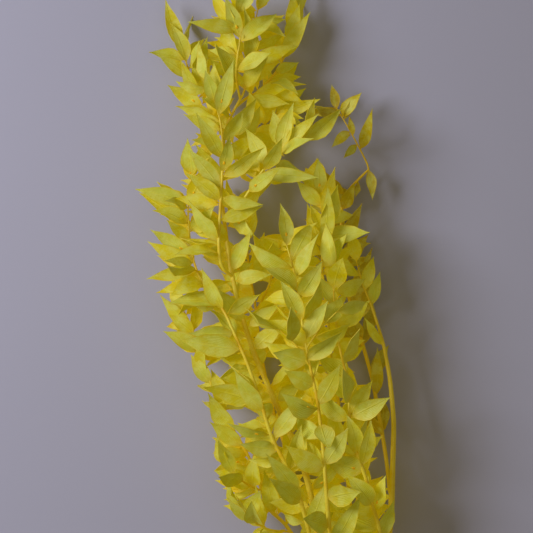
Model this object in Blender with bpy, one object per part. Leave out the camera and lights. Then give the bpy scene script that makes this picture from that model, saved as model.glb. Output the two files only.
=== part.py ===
"""A dried and dyed ruscus stem, cut and laid down on a flat surface.

One cut stalk splits low down into nine long branches. Each branch carries short side shoots and pointed
leaf blades, set alternately. Every leafy branch is one closed body, and the branches stand a hair clear
of each other. The blades are thin lenses: thickest along the midrib, sharp at the margin.

Routes are in millimetres, measured rightwards and down the stem from one corner of the leafy part, with
the height above the surface third. The finished model is in metres, its long side along Y, +Z up.
"""

import math
import random

import bmesh
import bpy
from mathutils import Matrix, Vector
from mathutils.bvhtree import BVHTree

MM = 0.001
PLAN_MIDDLE = 266.5

STALK_RADIUS = 3.9
STEM_SIDES = 5
STEM_STEP = 24.0
COLLAR_STEP = 6.0
COLLAR_REACH = 42.0
BRANCH_GAP = 0.35
BRANCH_COLLAR_RADIUS = 0.9
SHOOT_TIP_RADIUS = 0.55

BLADE_THICKNESS = 1.1
PETIOLE_HALF_WIDTH = 0.75
PETIOLE_DROP = 0.25
BLADE_STATIONS = (0.26, 0.62)
ROOT_SHARE = 0.2
CROWDED_ROOTS = 8.0
BLADE_CLEARANCE = 0.45
MOST_TRIES = 70
FLOOR_HEIGHT = 0.0
RANDOM_SEED = 17


class Shoot:
    """A stem's route, its radii at both ends, and the rule for the blades along it."""

    def __init__(self, route, radius, blades=0, length=46, width=18, first=0.1, side=1, splay=52, last=1.0):
        self.route = [Vector(point) for point in route]
        self.radius = radius
        self.blades = blades
        self.length = length
        self.width = width
        self.first = first
        self.last = last
        self.side = side
        self.splay = splay


# The branches: a name, the main shoot, then the side shoots that grow from it.
BRANCHES = {
    "stalk_and_arching_branch": [
        Shoot(
            [(345, 724, 3.6), (347, 700, 4.4), (352, 668, 12), (362, 632, 26), (376, 590, 40), (387, 550, 48),
             (391, 520, 51), (393, 470, 52), (394, 420, 50), (391, 385, 48), (384, 345, 46), (372, 306, 42),
             (364, 286, 40), (357, 262, 38)],
            STALK_RADIUS,
        ),
    ],
    "back_right_branch": [
        Shoot(
            [(392, 510, 51), (387, 460, 34), (379, 411, 22), (373, 380, 19), (361, 336, 17), (352, 306, 16),
             (344, 275, 16), (341, 250, 17), (342, 225, 18), (343, 205, 19), (349, 190, 20), (366, 172, 22),
             (369.5, 168.5, 23), (368, 163, 23), (360, 147, 24), (348, 125, 25), (337, 107, 26)],
            2.1, 13, 36, 17, 0.16, 1, 55,
        ),
    ],
    "inner_right_branch": [
        Shoot(
            [(365, 624, 29), (358, 585, 42), (355, 555, 44), (350, 500, 44), (344, 450, 42), (340, 420, 42), (338, 395, 44),
             (332, 365, 48), (329, 330, 52), (325, 295, 56), (322, 260, 58), (324, 235, 58), (322, 210, 56),
             (318, 190, 54)],
            2.1, 20, 44, 20, 0.12, -1, 42,
        ),
    ],
    "front_right_branch": [
        Shoot(
            [(376, 590, 40), (380, 560, 62), (380, 533, 74), (373, 507, 82), (365, 476, 88), (358, 457, 92),
             (352, 440, 92), (349, 420, 90), (349, 398, 88), (346, 375, 86), (340, 350, 84), (336, 325, 82),
             (334, 300, 80), (333, 270, 78)],
            2.2, 16, 42, 24, 0.12, 1, 50,
        ),
    ],
    "middle_branch": [
        Shoot(
            [(353, 662, 14), (345, 624, 38), (335, 570, 66), (330, 533, 84), (326, 490, 96), (323, 450, 100),
             (317, 400, 102), (309, 362, 102), (303, 330, 100), (299, 300, 98), (294, 272, 94), (288, 250, 90),
             (283, 234, 86)],
            2.5, 12, 45, 22, 0.26, 1, 50,
        ),
        Shoot([(306, 348, 101), (320, 328, 104), (336, 312, 104)], 1.1, 3, 42, 18, 0.3, 1, 45),
        Shoot([(310, 366, 102), (296, 345, 108), (280, 330, 110)], 1.1, 3, 42, 19, 0.3, -1, 45),
    ],
    "tall_left_branch": [
        Shoot(
            [(350, 684, 7.5), (341, 645, 31), (328, 585, 54), (318, 533, 64), (308, 483, 70), (296, 447, 73),
             (277, 406, 75), (252, 347, 74), (241, 313, 72), (231, 269, 68), (226, 235, 63), (222, 200, 58),
             (222, 160, 52), (226, 128, 49), (236, 106, 48), (245, 88, 47), (248, 62, 46), (252, 35, 46),
             (258, 8, 45)],
            3.5, 16, 46, 18, 0.2, -1, 42,
        ),
        Shoot([(236, 106, 48), (247, 97, 38), (259, 90, 30), (270, 78, 26), (279, 66, 24), (290, 42, 23),
               (298, 16, 22)], 1.5, 7, 47, 18, 0.2, 1, 36),
        Shoot([(229, 222, 62), (240, 205, 70), (251, 188, 75), (261, 173, 78), (281, 151, 78),
               (303, 141, 76)], 1.4, 4, 44, 17, 0.35, 1, 42),
        Shoot([(222, 152, 52), (236, 143, 41), (248, 133, 33), (264, 124, 27), (276, 112, 24)],
              1.3, 4, 42, 19, 0.3, -1, 45),
        Shoot([(224, 132, 49), (208, 114, 39), (197, 98, 32), (193, 84, 29), (186, 62, 27), (180, 46, 26)],
              1.3, 6, 44, 16, 0.2, 1, 36),
        Shoot([(240, 98, 48), (236, 76, 60), (238, 52, 65), (240, 38, 65), (237, 14, 62)],
              1.3, 6, 42, 18, 0.2, -1, 42),
        Shoot([(233, 277, 69), (222, 266, 80), (219, 245, 84), (220, 215, 82), (222, 180, 78),
               (223, 150, 74), (221, 125, 70), (215, 102, 66), (209, 84, 63)], 1.7, 10, 42, 17, 0.12, 1, 38),
    ],
    "outer_left_branch": [
        Shoot(
            [(336, 624, 40), (320, 578, 64), (306, 520, 82), (294, 480, 90), (282, 457, 94), (272, 437, 95),
             (260, 399, 97), (250, 370, 98), (242, 350, 97), (233, 330, 95), (224, 311, 92),
             (207, 287, 84), (199, 275, 79), (194, 262, 74), (190, 240, 68), (188, 212, 63), (189, 190, 60),
             (194, 168, 57), (201, 148, 54)],
            2.2, 15, 44, 18, 0.16, 1, 46,
        ),
    ],
    "lower_left_branch": [
        Shoot(
            [(333, 610, 45), (310, 565, 45), (285, 525, 48), (268, 508, 51), (258, 480, 54), (246, 452, 56),
             (232, 428, 56), (220, 402, 55), (208, 378, 54), (198, 352, 52), (192, 328, 50), (184, 312, 48)],
            2.1, 14, 40, 19, 0.12, 1, 38,
        ),
        Shoot([(262, 492, 53), (250, 486, 66), (236, 476, 74), (226, 466, 76)], 1.1, 4, 36, 18, 0.3, 1, 40),
        Shoot([(290, 533, 47), (270, 530, 62), (254, 522, 70), (242, 508, 72)], 1.1, 5, 36, 18, 0.3, -1, 40),
    ],
    "inner_left_branch": [
        Shoot(
            [(327, 580, 55), (309, 535, 34), (298, 490, 24), (286, 450, 20), (274, 415, 19), (266, 380, 19),
             (259, 340, 20), (255, 305, 21), (250, 275, 22), (247, 245, 22), (250, 215, 22), (256, 190, 21),
             (262, 165, 20)],
            2.2, 21, 45, 20, 0.08, 1, 46,
        ),
        Shoot([(256, 312, 20), (268, 288, 38), (276, 262, 48), (284, 240, 52)], 1.2, 6, 44, 18, 0.3, 1, 45),
        Shoot([(286, 450, 20), (297, 436, 40), (308, 416, 58), (314, 400, 68)], 1.2, 4, 42, 20, 0.4, 1, 50),
    ],
}

# Blades whose places are measured on the real stem: base x, base y, tip x, tip y and width, all in the plane.
MEASURED_BLADES = {
    "stalk_and_arching_branch": [
        (372, 306, 381, 272, 13), (366, 290, 372, 256, 14), (357, 262, 352, 230, 15), (361, 276, 343, 254, 14),
        (384, 345, 366, 318, 13),
    ],
    "tall_left_branch": [
        (256, 62, 246, 8, 18), (228, 30, 188, 22, 16), (224, 114, 228, 60, 18), (220, 100, 207, 70, 15),
        (252, 66, 295, 38, 17), (246, 86, 266, 56, 18), (285, 56, 311, 12, 18), (290, 42, 299, 2, 16),
        (274, 76, 301, 77, 14), (268, 84, 304, 101, 16), (277, 70, 298, 60, 12), (240, 38, 228, -6, 17),
        (276, 112, 322, 102, 15), (226, 134, 257, 98, 19), (281, 151, 289, 103, 17), (303, 142, 342, 108, 18),
        (284, 150, 317, 114, 15), (261, 173, 318, 175, 17), (225, 176, 266, 149, 18), (219, 187, 190, 149, 17),
        (222, 172, 228, 136, 15), (181, 48, 160, 0, 17), (185, 58, 149, 47, 14), (189, 68, 163, 62, 13),
        (191, 98, 176, 60, 13), (195, 84, 208, 36, 16), (210, 116, 183, 102, 15), (222, 130, 184, 114, 14),
        (221, 158, 197, 114, 17), (258, 10, 262, -20, 15), (222, 196, 262, 208, 16), (226, 240, 205, 206, 15),
        (231, 268, 252, 232, 17), (243, 320, 216, 283, 18), (252, 345, 283, 322, 18),
    ],
    "outer_left_branch": [
        (186, 203, 137, 185, 19), (187, 222, 138, 196, 18), (188, 256, 151, 230, 17), (189, 264, 146, 247, 17),
        (192, 270, 147, 274, 16), (203, 284, 157, 292, 17), (218, 308, 170, 300, 25), (235, 333, 190, 336, 19),
        (240, 349, 181, 344, 25), (258, 400, 203, 391, 25), (272, 437, 304, 398, 20), (191, 180, 187, 150, 16),
        (195, 168, 220, 132, 15), (222, 311, 206, 268, 17), (262, 410, 232, 372, 20), (276, 448, 240, 420, 20),
        (286, 468, 296, 424, 19), (296, 492, 268, 450, 20),
    ],
    "lower_left_branch": [
        (198, 352, 166, 328, 18), (194, 334, 169, 314, 15), (192, 326, 158, 298, 16), (212, 384, 188, 356, 16),
        (236, 434, 204, 395, 20), (242, 446, 212, 420, 18), (246, 458, 213, 437, 20), (254, 476, 223, 463, 17),
        (250, 486, 214, 473, 21), (262, 494, 225, 484, 18), (250, 521, 225, 501, 17), (272, 515, 268, 470, 19),
    ],
    "middle_branch": [
        (308, 362, 274, 350, 27), (304, 345, 269, 314, 21), (301, 320, 277, 282, 19), (293, 268, 250, 240, 20),
        (305, 336, 326, 300, 19), (309, 358, 340, 330, 19), (298, 296, 322, 262, 21), (297, 276, 320, 236, 17),
        (322, 460, 284, 446, 23), (319, 415, 326, 448, 22), (331, 540, 358, 495, 21), (286, 246, 284, 204, 17),
        (324, 455, 350, 428, 20), (312, 380, 284, 372, 20), (316, 398, 342, 366, 20),
    ],
    "inner_right_branch": [
        (324, 275, 357, 248, 18), (326, 300, 345, 272, 17), (318, 195, 320, 158, 15), (323, 250, 332, 186, 16),
        (320, 206, 297, 180, 16), (322, 235, 311, 204, 16), (322, 218, 339, 168, 15), (331, 350, 364, 338, 18),
        (333, 368, 360, 385, 20), (338, 396, 306, 380, 20), (342, 436, 366, 402, 19),
    ],
    "back_right_branch": [
        (352, 306, 370, 246, 16), (361, 340, 345, 308, 17), (364, 345, 374, 280, 20), (338, 107, 331, 84, 11),
        (343, 115, 361, 91, 15), (361, 148, 377, 111, 13), (350, 130, 331, 145, 11), (357, 143, 345, 158, 9),
        (369, 168, 374, 199, 11), (343, 208, 357, 184, 14), (341, 245, 366, 206, 18), (376, 395, 383, 350, 14),
        (379, 415, 350, 400, 17),
    ],
    "front_right_branch": [
        (355, 450, 351, 412, 19), (360, 460, 370, 418, 17), (362, 466, 327, 456, 27), (368, 500, 345, 474, 21),
        (376, 514, 380, 476, 16), (373, 507, 346, 512, 20), (380, 535, 392, 500, 16), (349, 410, 372, 380, 17),
        (349, 395, 326, 372, 19),
    ],
}


# The edges of the leafy part as (place down the stem, place across), and the open places inside it as
# (low across, low down, high across, high down). Blades that aren't measured keep to them.
LEFT_EDGE = [(-60, 205), (0, 172), (45, 152), (75, 163), (110, 180), (165, 186), (185, 140), (230, 150), (275, 147),
             (300, 158), (335, 168), (372, 188), (395, 200), (425, 210), (470, 213), (500, 223), (540, 234)]
RIGHT_EDGE = [(-60, 300), (0, 312), (60, 310), (100, 322), (112, 342), (170, 330), (205, 366), (250, 372), (282, 380),
              (345, 390), (400, 394), (540, 393)]
OPEN_PLACES = [(264, 184, 300, 232), (318, 118, 343, 158), (347, 196, 366, 204), (372, 300, 380, 336)]

# The stretches of stem that show bare from above: branch, order of the shoot, first and last place down the stem.
BARE_STRETCHES = [
    ("stalk_and_arching_branch", 0, 280, 540),
    ("middle_branch", 0, 345, 540),
    ("front_right_branch", 0, 455, 540),
    ("tall_left_branch", 0, 205, 400),
    ("tall_left_branch", 6, 150, 275),
    ("outer_left_branch", 0, 225, 460),
    ("back_right_branch", 0, 340, 450),
]


def plan(point):
    """A route's point as a vector in the model's millimetres."""
    return Vector((point[0] - PLAN_MIDDLE, PLAN_MIDDLE - point[1], point[2]))


def smooth_route(points, step):
    """Points about a step apart on the smooth curve through a route's own points."""
    ends = [2 * points[0] - points[1], *points, 2 * points[-1] - points[-2]]
    line = []
    for before, start, end, after in zip(ends, ends[1:], ends[2:], ends[3:]):
        cuts = max(1, round((end - start).length / step))
        for cut in range(cuts):
            t = cut / cuts
            line.append(
                0.5 * (2 * start + (end - before) * t + (2 * before - 5 * start + 4 * end - after) * t * t
                       + (3 * start - before - 3 * end + after) * t ** 3)
            )
    line.append(points[-1].copy())
    return line


def at_share(line, share):
    """The point and the direction at a share of a line's length."""
    lengths = [(b - a).length for a, b in zip(line, line[1:])]
    target = share * sum(lengths)
    for start, end, length in zip(line, line[1:], lengths):
        if target <= length:
            return start.lerp(end, target / length), (end - start).normalized()
        target -= length
    return line[-1].copy(), (line[-1] - line[-2]).normalized()


def nearest_on(line, point):
    """The point nearest to another on a line made of straight pieces."""
    nearest = []
    for start, end in zip(line, line[1:]):
        along = end - start
        share = max(0.0, min(1.0, (point - start).dot(along) / along.length_squared))
        nearest.append(start + share * along)
    return min(nearest, key=lambda found: (found - point).length)


def distance_to(line, point):
    return (nearest_on(line, point) - point).length


def stem_radius(shoot, share):
    return shoot.radius + (SHOOT_TIP_RADIUS - shoot.radius) * share ** 2


def stem_mesh(line, radii, sides):
    """A closed tube along a line, with a radius at each point, as vertices and faces."""
    vertices = []
    faces = []
    across = Vector((0, 0, 1))
    for i, centre in enumerate(line):
        along = (line[min(i + 1, len(line) - 1)] - line[max(i - 1, 0)]).normalized()
        across = (across - along * across.dot(along)).normalized()
        beside = along.cross(across)
        for side in range(sides):
            turn = 2 * math.pi * (side + 0.5) / sides
            vertices.append(centre + radii[i] * (math.cos(turn) * across + math.sin(turn) * beside))
    for i in range(len(line) - 1):
        for side in range(sides):
            a = i * sides + side
            b = i * sides + (side + 1) % sides
            faces.append((a, b, b + sides, a + sides))
    faces.append(tuple(reversed(range(sides))))
    faces.append(tuple(range((len(line) - 1) * sides, len(line) * sides)))
    return vertices, faces


class Blade:
    """One leaf blade: where it sits, how large it is, and how it folds, bows and twists."""

    def __init__(self, base, along, up, length, width, fold, bow, twist):
        self.base = base
        self.length = length
        self.width = width
        self.fold = fold
        self.bow = bow
        self.twist = twist
        up = (up - along * up.dot(along)).normalized()
        self.axes = Matrix((along, up.cross(along), up)).transposed()


def blade_half_width(share):
    """The outline: rounded towards the base, drawn out to a point at the tip."""
    return math.sin(math.pi * share ** 0.72) ** 0.9 * (1.06 - 0.32 * share)


def blade_point(blade, share, across, lift=0.0, grow=0.0):
    """A point of the blade at a share of its length, at -1 to 1 across it, and lifted off it."""
    half = blade.width / 2 * blade_half_width(share) if 0 < share < 1 else 0.0
    half = max(half, PETIOLE_HALF_WIDTH * (1 - share)) + grow
    aside = across * half
    raised = abs(aside) * math.tan(blade.fold) + lift
    turn = blade.twist * share
    aside, raised = (
        aside * math.cos(turn) - raised * math.sin(turn),
        aside * math.sin(turn) + raised * math.cos(turn),
    )
    bend = blade.bow * share or 1e-6
    reach = blade.length * share
    x = reach * math.sin(bend) / bend - raised * math.sin(bend)
    z = reach * (1 - math.cos(bend)) / bend + raised * math.cos(bend)
    return blade.base + blade.axes @ Vector((x, aside, z))


def pressed(point, height):
    """The surface under the stem pushes up whatever would pass through it."""
    return Vector((point.x, point.y, max(point.z, FLOOR_HEIGHT + height)))


def blade_mesh(blade, grow=0.0, start=0.0):
    """The blade as a closed lens of 20 triangles: a three-sided petiole end, two stations and the tip."""
    half = BLADE_THICKNESS / 2 + grow
    vertices = [
        pressed(blade_point(blade, start, 1, -PETIOLE_DROP, grow), half * 0.5),
        pressed(blade_point(blade, start, 0, half + PETIOLE_DROP), 2 * half),
        pressed(blade_point(blade, start, -1, -PETIOLE_DROP, grow), half * 0.5),
    ]
    for share in BLADE_STATIONS:
        vertices.append(pressed(blade_point(blade, share, 1, 0, grow), half * 0.5))
        vertices.append(pressed(blade_point(blade, share, 0, half), 2 * half))
        vertices.append(pressed(blade_point(blade, share, -1, 0, grow), half * 0.5))
        vertices.append(pressed(blade_point(blade, share, 0, -half), 0))
    vertices.append(pressed(blade_point(blade, 1 + grow / blade.length, 0), half * 0.5))
    tip = len(vertices) - 1
    faces = [(0, 1, 2), (0, 3, 4), (0, 4, 1), (1, 4, 2), (4, 5, 2), (2, 5, 6), (2, 6, 0), (0, 6, 3)]
    for ring in range(3, tip - 4, 4):
        for side in range(4):
            a = ring + side
            b = ring + (side + 1) % 4
            # Both faces of the blade are split along the same lines, so that they never cross.
            faces += [(a, a + 4, b + 4), (a, b + 4, b)] if side % 2 == 0 else [(a, a + 4, b), (a + 4, b + 4, b)]
    for side in range(4):
        faces.append((tip - 4 + side, tip, tip - 4 + (side + 1) % 4))
    return vertices, faces


def box_of(vertices):
    low = Vector(min(v[k] for v in vertices) for k in range(3))
    high = Vector(max(v[k] for v in vertices) for k in range(3))
    return low, high


class Placed:
    """A body that is already in place, kept so that later blades can be set clear of it."""

    def __init__(self, mesh, branch, start, outer=None):
        self.stem = outer is None
        self.tree = BVHTree.FromPolygons(*mesh)
        self.outer = BVHTree.FromPolygons(*outer) if outer else self.tree
        self.low, self.high = box_of(mesh[0])
        self.branch = branch
        self.start = start

    def meets(self, other, own):
        """Blades whose roots share a place on a stem are compared without those roots."""
        if any(self.low[k] > other.high[k] or self.high[k] < other.low[k] for k in range(3)):
            return False
        if own or (self.branch == other.branch and (self.start - other.start).length < CROWDED_ROOTS):
            return bool(self.outer.overlap(other.outer))
        return bool(self.tree.overlap(other.tree))


def blade_try(draw, shoot, share, number, base, heading, attempt):
    """One way to set a blade: on alternate sides of the shoot, turned more freely with each attempt."""
    side = shoot.side * (-1) ** number
    loose = min(1.0, 0.35 + attempt / 25)
    terminal = share > 0.985
    rightwards = heading.cross(Vector((0, 0, 1))).normalized()
    upwards = rightwards.cross(heading)
    round_stem = math.radians(draw.gauss(0, 26 + 45 * loose))
    splay = math.radians((12 if terminal else shoot.splay - 14 * share) + draw.gauss(0, 9 + 9 * loose))
    out = rightwards * side * math.cos(round_stem) + upwards * math.sin(round_stem)
    along = (heading * math.cos(splay) + out * math.sin(splay)).normalized()
    sideways = along.cross(Vector((0, 0, 1))).normalized()
    facing = sideways.cross(along)
    roll = math.radians(draw.gauss(0, 24 + 22 * loose))
    up = facing * math.cos(roll) + sideways * math.sin(roll)
    shrink = 1 - 0.25 * attempt / MOST_TRIES
    taper = 1 - 0.18 * share
    return Blade(
        base, along, up,
        1.08 * shoot.length * draw.uniform(0.84, 1.12) * shrink + stem_radius(shoot, share),
        1.16 * shoot.width * draw.uniform(0.86, 1.12) * shrink * taper,
        math.radians(draw.uniform(6, 24)),
        math.radians(draw.uniform(-38, 30)),
        math.radians(draw.gauss(0, 20)),
    )


def leaving_parent(line, radii, parents):
    """A branch starts on its parent's axis: it begins where it is clear of it, and thickens as it gets away."""
    parent, thick = min(parents, key=lambda each: distance_to(each[0], line[0]))
    route = smooth_route(line, COLLAR_STEP)
    kept = []
    way = 0.0
    for i, point in enumerate(route):
        way += (point - route[i - 1]).length if i else 0.0
        share = min(range(len(line)), key=lambda k: (line[k] - point).length)
        room = distance_to(parent, point) - thick - BRANCH_GAP
        if way > COLLAR_REACH and (line[share] - point).length > 0.01:
            continue
        if room >= BRANCH_COLLAR_RADIUS or way > COLLAR_REACH:
            kept.append((point, min(radii[share], room) if way < 2 * COLLAR_REACH else radii[share]))
    return [point for point, _ in kept], [radius for _, radius in kept]


def measured_try(draw, stems, row, attempt):
    """One way to set a measured blade: its tip keeps its place in the plane, and its lean and turn are drawn."""
    base_x, base_y, tip_x, tip_y, width = row
    wanted = plan((base_x, base_y, 0))
    found = []
    for _, line, _ in stems:
        flat = [Vector((point.x, point.y, 0)) for point in line]
        share = min((k / 400 for k in range(401)), key=lambda k: (at_share(flat, k)[0] - wanted).length)
        base = at_share(line, share)[0]
        found.append(((Vector((base.x, base.y, 0)) - wanted).length, base))
    base = min(found, key=lambda each: each[0])[1]
    loose = min(1.0, attempt / 30)
    to_tip = plan((tip_x, tip_y, 0)) - Vector((base.x, base.y, 0))
    to_tip.z = to_tip.length * (draw.gauss(0.08, 0.16 + 0.3 * loose))
    chord = to_tip.normalized()
    sideways = chord.cross(Vector((0, 0, 1))).normalized()
    facing = sideways.cross(chord)
    roll = math.radians(draw.gauss(0, 17 + 28 * loose))
    up = facing * math.cos(roll) + sideways * math.sin(roll)
    bow = math.radians(draw.uniform(-34, 26))
    shrink = 1 - 0.22 * attempt / MOST_TRIES
    along = chord * math.cos(bow / 2) - up * math.sin(bow / 2)
    return Blade(base, along, up, to_tip.length * 1.02 * shrink, width * shrink,
                 math.radians(draw.uniform(6, 22)), bow, math.radians(draw.gauss(0, 14)))


def grow_stems():
    """Every stem's line and radii by branch, and each as a placed body."""
    stems = {}
    placed = []
    parents = []
    for name, shoots in BRANCHES.items():
        stems[name] = []
        for order, shoot in enumerate(shoots):
            points = [plan(point) for point in shoot.route]
            if order > 0:
                points[0] = nearest_on(stems[name][0][1], points[0])
            line = smooth_route(points, STEM_STEP)
            shares = [i / (len(line) - 1) for i in range(len(line))]
            radii = [stem_radius(shoot, share) for share in shares]
            if order == 0 and parents:
                line, radii = leaving_parent(line, radii, parents)
            if order == 0:
                parents.append((line, shoot.radius))
            stems[name].append((shoot, line, radii))
            placed.append(Placed(stem_mesh(line, radii, STEM_SIDES), name, line[0]))
    return stems, placed


def bare_stretches(stems):
    """Points along the stems that show bare on the real one, each with its radius."""
    shown = []
    for name, order, low, high in BARE_STRETCHES:
        _, line, radii = stems[name][order]
        for start, end, radius in zip(line, line[1:], radii):
            for cut in range(8):
                point = start.lerp(end, cut / 8)
                if low <= PLAN_MIDDLE - point.y <= high:
                    shown.append((point, radius))
    return shown


def hides_a_stem(blade, shown):
    """Whether the outer part of a blade lies over one of the bare stretches, seen from above."""
    for share in (0.3, 0.45, 0.6, 0.75, 0.9):
        for across in (-0.9, -0.3, 0.3, 0.9):
            point = blade_point(blade, share, across)
            for place, radius in shown:
                reach = radius + 1.2
                if point.z > place.z and abs(point.x - place.x) < reach and abs(point.y - place.y) < reach:
                    return True
    return False


def edge_at(edge, down):
    """The place across of an edge at a place down the stem."""
    for (above, first), (below, last) in zip(edge, edge[1:]):
        if down <= below:
            return first + (last - first) * max(0.0, (down - above) / (below - above))
    return edge[-1][1]


def strays(blade):
    """Whether a blade leaves the outline of the leafy part, or reaches into one of the open places in it."""
    for share in (0.4, 0.7, 1.0):
        for across in (-0.8, 0.8):
            point = blade_point(blade, share, across)
            over, down = point.x + PLAN_MIDDLE, PLAN_MIDDLE - point.y
            if down < 540 and not edge_at(LEFT_EDGE, down) - 2 <= over <= edge_at(RIGHT_EDGE, down) + 2:
                return True
            if any(left < over < right and high < down < low for left, high, right, low in OPEN_PLACES):
                return True
    return False


def first_clear(name, placed, tries, shown=()):
    """The first of many ways to set a blade that is clear of all that is already in place, or None."""
    for blade in tries:
        swept = Placed(blade_mesh(blade, BLADE_CLEARANCE), name, blade.base,
                       blade_mesh(blade, BLADE_CLEARANCE, ROOT_SHARE))
        stems = [body for body in placed if body.stem and body.branch == name]
        own = min(stems, key=lambda body: body.tree.find_nearest(blade.base)[3])
        if any(body.meets(swept, body is own) for body in placed):
            continue
        if not shown or not (strays(blade) or hides_a_stem(blade, shown)):
            placed.append(Placed(blade_mesh(blade), name, blade.base, blade_mesh(blade, 0, ROOT_SHARE)))
            return blade
    return None


def set_blades(stems, placed):
    """The blades of each branch: first the measured ones, then those that follow the shoots' rule."""
    draw = random.Random(RANDOM_SEED)
    blades = {name: [] for name in stems}
    shown = bare_stretches(stems)
    for name, rows in MEASURED_BLADES.items():
        for row in rows:
            tries = (measured_try(draw, stems[name], row, attempt) for attempt in range(MOST_TRIES))
            blades[name].append(first_clear(name, placed, tries))
    for name, branch in stems.items():
        for shoot, line, radii in branch:
            for number in range(shoot.blades):
                share = shoot.first + (shoot.last - shoot.first) * number / max(1, shoot.blades - 1)
                base, heading = at_share(line, share)
                tries = (blade_try(draw, shoot, share, number, base, heading, attempt)
                         for attempt in range(MOST_TRIES))
                blades[name].append(first_clear(name, placed, tries, shown))
    dropped = sum(found.count(None) for found in blades.values())
    blades = {name: [blade for blade in found if blade] for name, found in blades.items()}
    print("lowest:", {name: sorted(round(min(v.z for v in blade_mesh(blade)[0]), 1) for blade in found)[:4]
                      for name, found in blades.items()})
    print("blades:", {name: len(found) for name, found in blades.items()}, "dropped:", dropped)
    return blades


def new_object(name, mesh, collection):
    data = bpy.data.meshes.new(name)
    data.from_pydata([v * MM for v in mesh[0]], [], mesh[1])
    tidy = bmesh.new()
    tidy.from_mesh(data)
    bmesh.ops.triangulate(tidy, faces=tidy.faces)
    if tidy.calc_volume(signed=True) < 0:
        bmesh.ops.reverse_faces(tidy, faces=tidy.faces)
    tidy.to_mesh(data)
    tidy.free()
    made = bpy.data.objects.new(name, data)
    collection.objects.link(made)
    return made


def fused_branch(name, branch, blades):
    """One closed body: the branch's main stem, joined with its side shoots and blades."""
    scene_objects = bpy.context.scene.collection
    extras = bpy.data.collections.new(name + "_repeats")
    scene_objects.children.link(extras)
    main = None
    for order, (shoot, line, radii) in enumerate(branch):
        tube = new_object(name if order == 0 else name + "_shoot", stem_mesh(line, radii, STEM_SIDES),
                          scene_objects if order == 0 else extras)
        main = main or tube
    for blade in blades:
        new_object(name + "_blade", blade_mesh(blade), extras)
    union = main.modifiers.new("join", "BOOLEAN")
    union.operation = "UNION"
    union.operand_type = "COLLECTION"
    union.collection = extras
    union.solver = "MANIFOLD"
    bpy.context.view_layer.objects.active = main
    bpy.context.view_layer.update()
    bpy.ops.object.modifier_apply(modifier=union.name)
    for extra in list(extras.objects):
        bpy.data.objects.remove(extra)
    bpy.data.collections.remove(extras)
    return main


def dyed_material(name, colour, roughness):
    made = bpy.data.materials.new(name)
    made.use_nodes = True
    surface = made.node_tree.nodes["Principled BSDF"]
    surface.inputs["Base Color"].default_value = (*colour, 1)
    surface.inputs["Roughness"].default_value = roughness
    surface.inputs["Metallic"].default_value = 0.0
    made.diffuse_color = (*colour, 1)
    return made


def stand_on_origin(objects):
    """The middle of the box's underside goes to the origin."""
    low, high = box_of([obj.matrix_world @ v.co for obj in objects for v in obj.data.vertices])
    shift = Matrix.Translation((-(low.x + high.x) / 2, -(low.y + high.y) / 2, -low.z))
    for obj in objects:
        obj.data.transform(shift)
    print("shift in mm:", [round(x / MM, 3) for x in shift.translation])


def main():
    for obj in list(bpy.data.objects):
        bpy.data.objects.remove(obj)
    stems, placed = grow_stems()
    blades = set_blades(stems, placed)
    dyed = dyed_material("dyed_ruscus", (0.72, 0.62, 0.05), 0.6)
    branches = []
    for name, branch in stems.items():
        made = fused_branch(name, branch, blades[name])
        made.data.materials.clear()
        made.data.materials.append(dyed.copy())
        branches.append(made)
    stand_on_origin(branches)


main()
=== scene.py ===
import math
import random

import bpy
import numpy as np
from mathutils import Matrix, Vector


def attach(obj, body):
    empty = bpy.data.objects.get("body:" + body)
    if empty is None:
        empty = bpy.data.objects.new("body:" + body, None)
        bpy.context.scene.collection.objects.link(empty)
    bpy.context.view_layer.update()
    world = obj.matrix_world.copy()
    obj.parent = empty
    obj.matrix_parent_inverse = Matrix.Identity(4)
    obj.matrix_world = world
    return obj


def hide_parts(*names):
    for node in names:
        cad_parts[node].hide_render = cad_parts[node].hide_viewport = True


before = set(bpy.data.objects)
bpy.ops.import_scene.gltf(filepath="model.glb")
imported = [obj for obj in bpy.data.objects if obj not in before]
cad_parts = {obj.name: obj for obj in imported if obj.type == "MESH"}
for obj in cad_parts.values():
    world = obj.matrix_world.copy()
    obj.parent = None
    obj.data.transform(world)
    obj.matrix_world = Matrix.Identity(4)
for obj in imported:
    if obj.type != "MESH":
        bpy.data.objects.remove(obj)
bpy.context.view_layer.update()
bpy.ops.object.select_all(action="DESELECT")

# The camera looks straight down at the upper 533 mm of the stem through a long lens, from 6 m above it.
# The cut end lies outside the picture, below its lower edge.
picture_centre = (0.0003, 0.0787)
picture_height = 0.533
stem_level = 0.07
camera_distance = 6.0
bpy.ops.object.camera_add(location=(*picture_centre, stem_level + camera_distance), rotation=(0, 0, 0))
camera = bpy.context.active_object
camera.name = "camera"
camera.data.sensor_width = 36
camera.data.lens = camera.data.sensor_width * camera_distance / picture_height
camera.data.clip_end = 20
bpy.context.scene.camera = camera
bpy.context.scene.view_settings.view_transform = "Standard"


# The surface under the stem: one plain pale sheet with a faint cool grey tone, matt and very slightly uneven.
# It is part of the setting, not of the object.
def new_finish(name):
    """A new material, with its node tree and its shader."""
    made = bpy.data.materials.new(name)
    made.use_nodes = True
    return made, made.node_tree, made.node_tree.nodes["Principled BSDF"]


def feed(node, inputs):
    """Gives a node's inputs a number or a colour each, or a link from another node's output."""
    for name, value in inputs.items():
        if isinstance(value, bpy.types.NodeSocket):
            node.id_data.links.new(value, node.inputs[name])
        else:
            node.inputs[name].default_value = value
    return node


def noise(tree, inputs):
    """The value of a noise pattern."""
    return feed(tree.nodes.new("ShaderNodeTexNoise"), inputs).outputs["Fac"]


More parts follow.
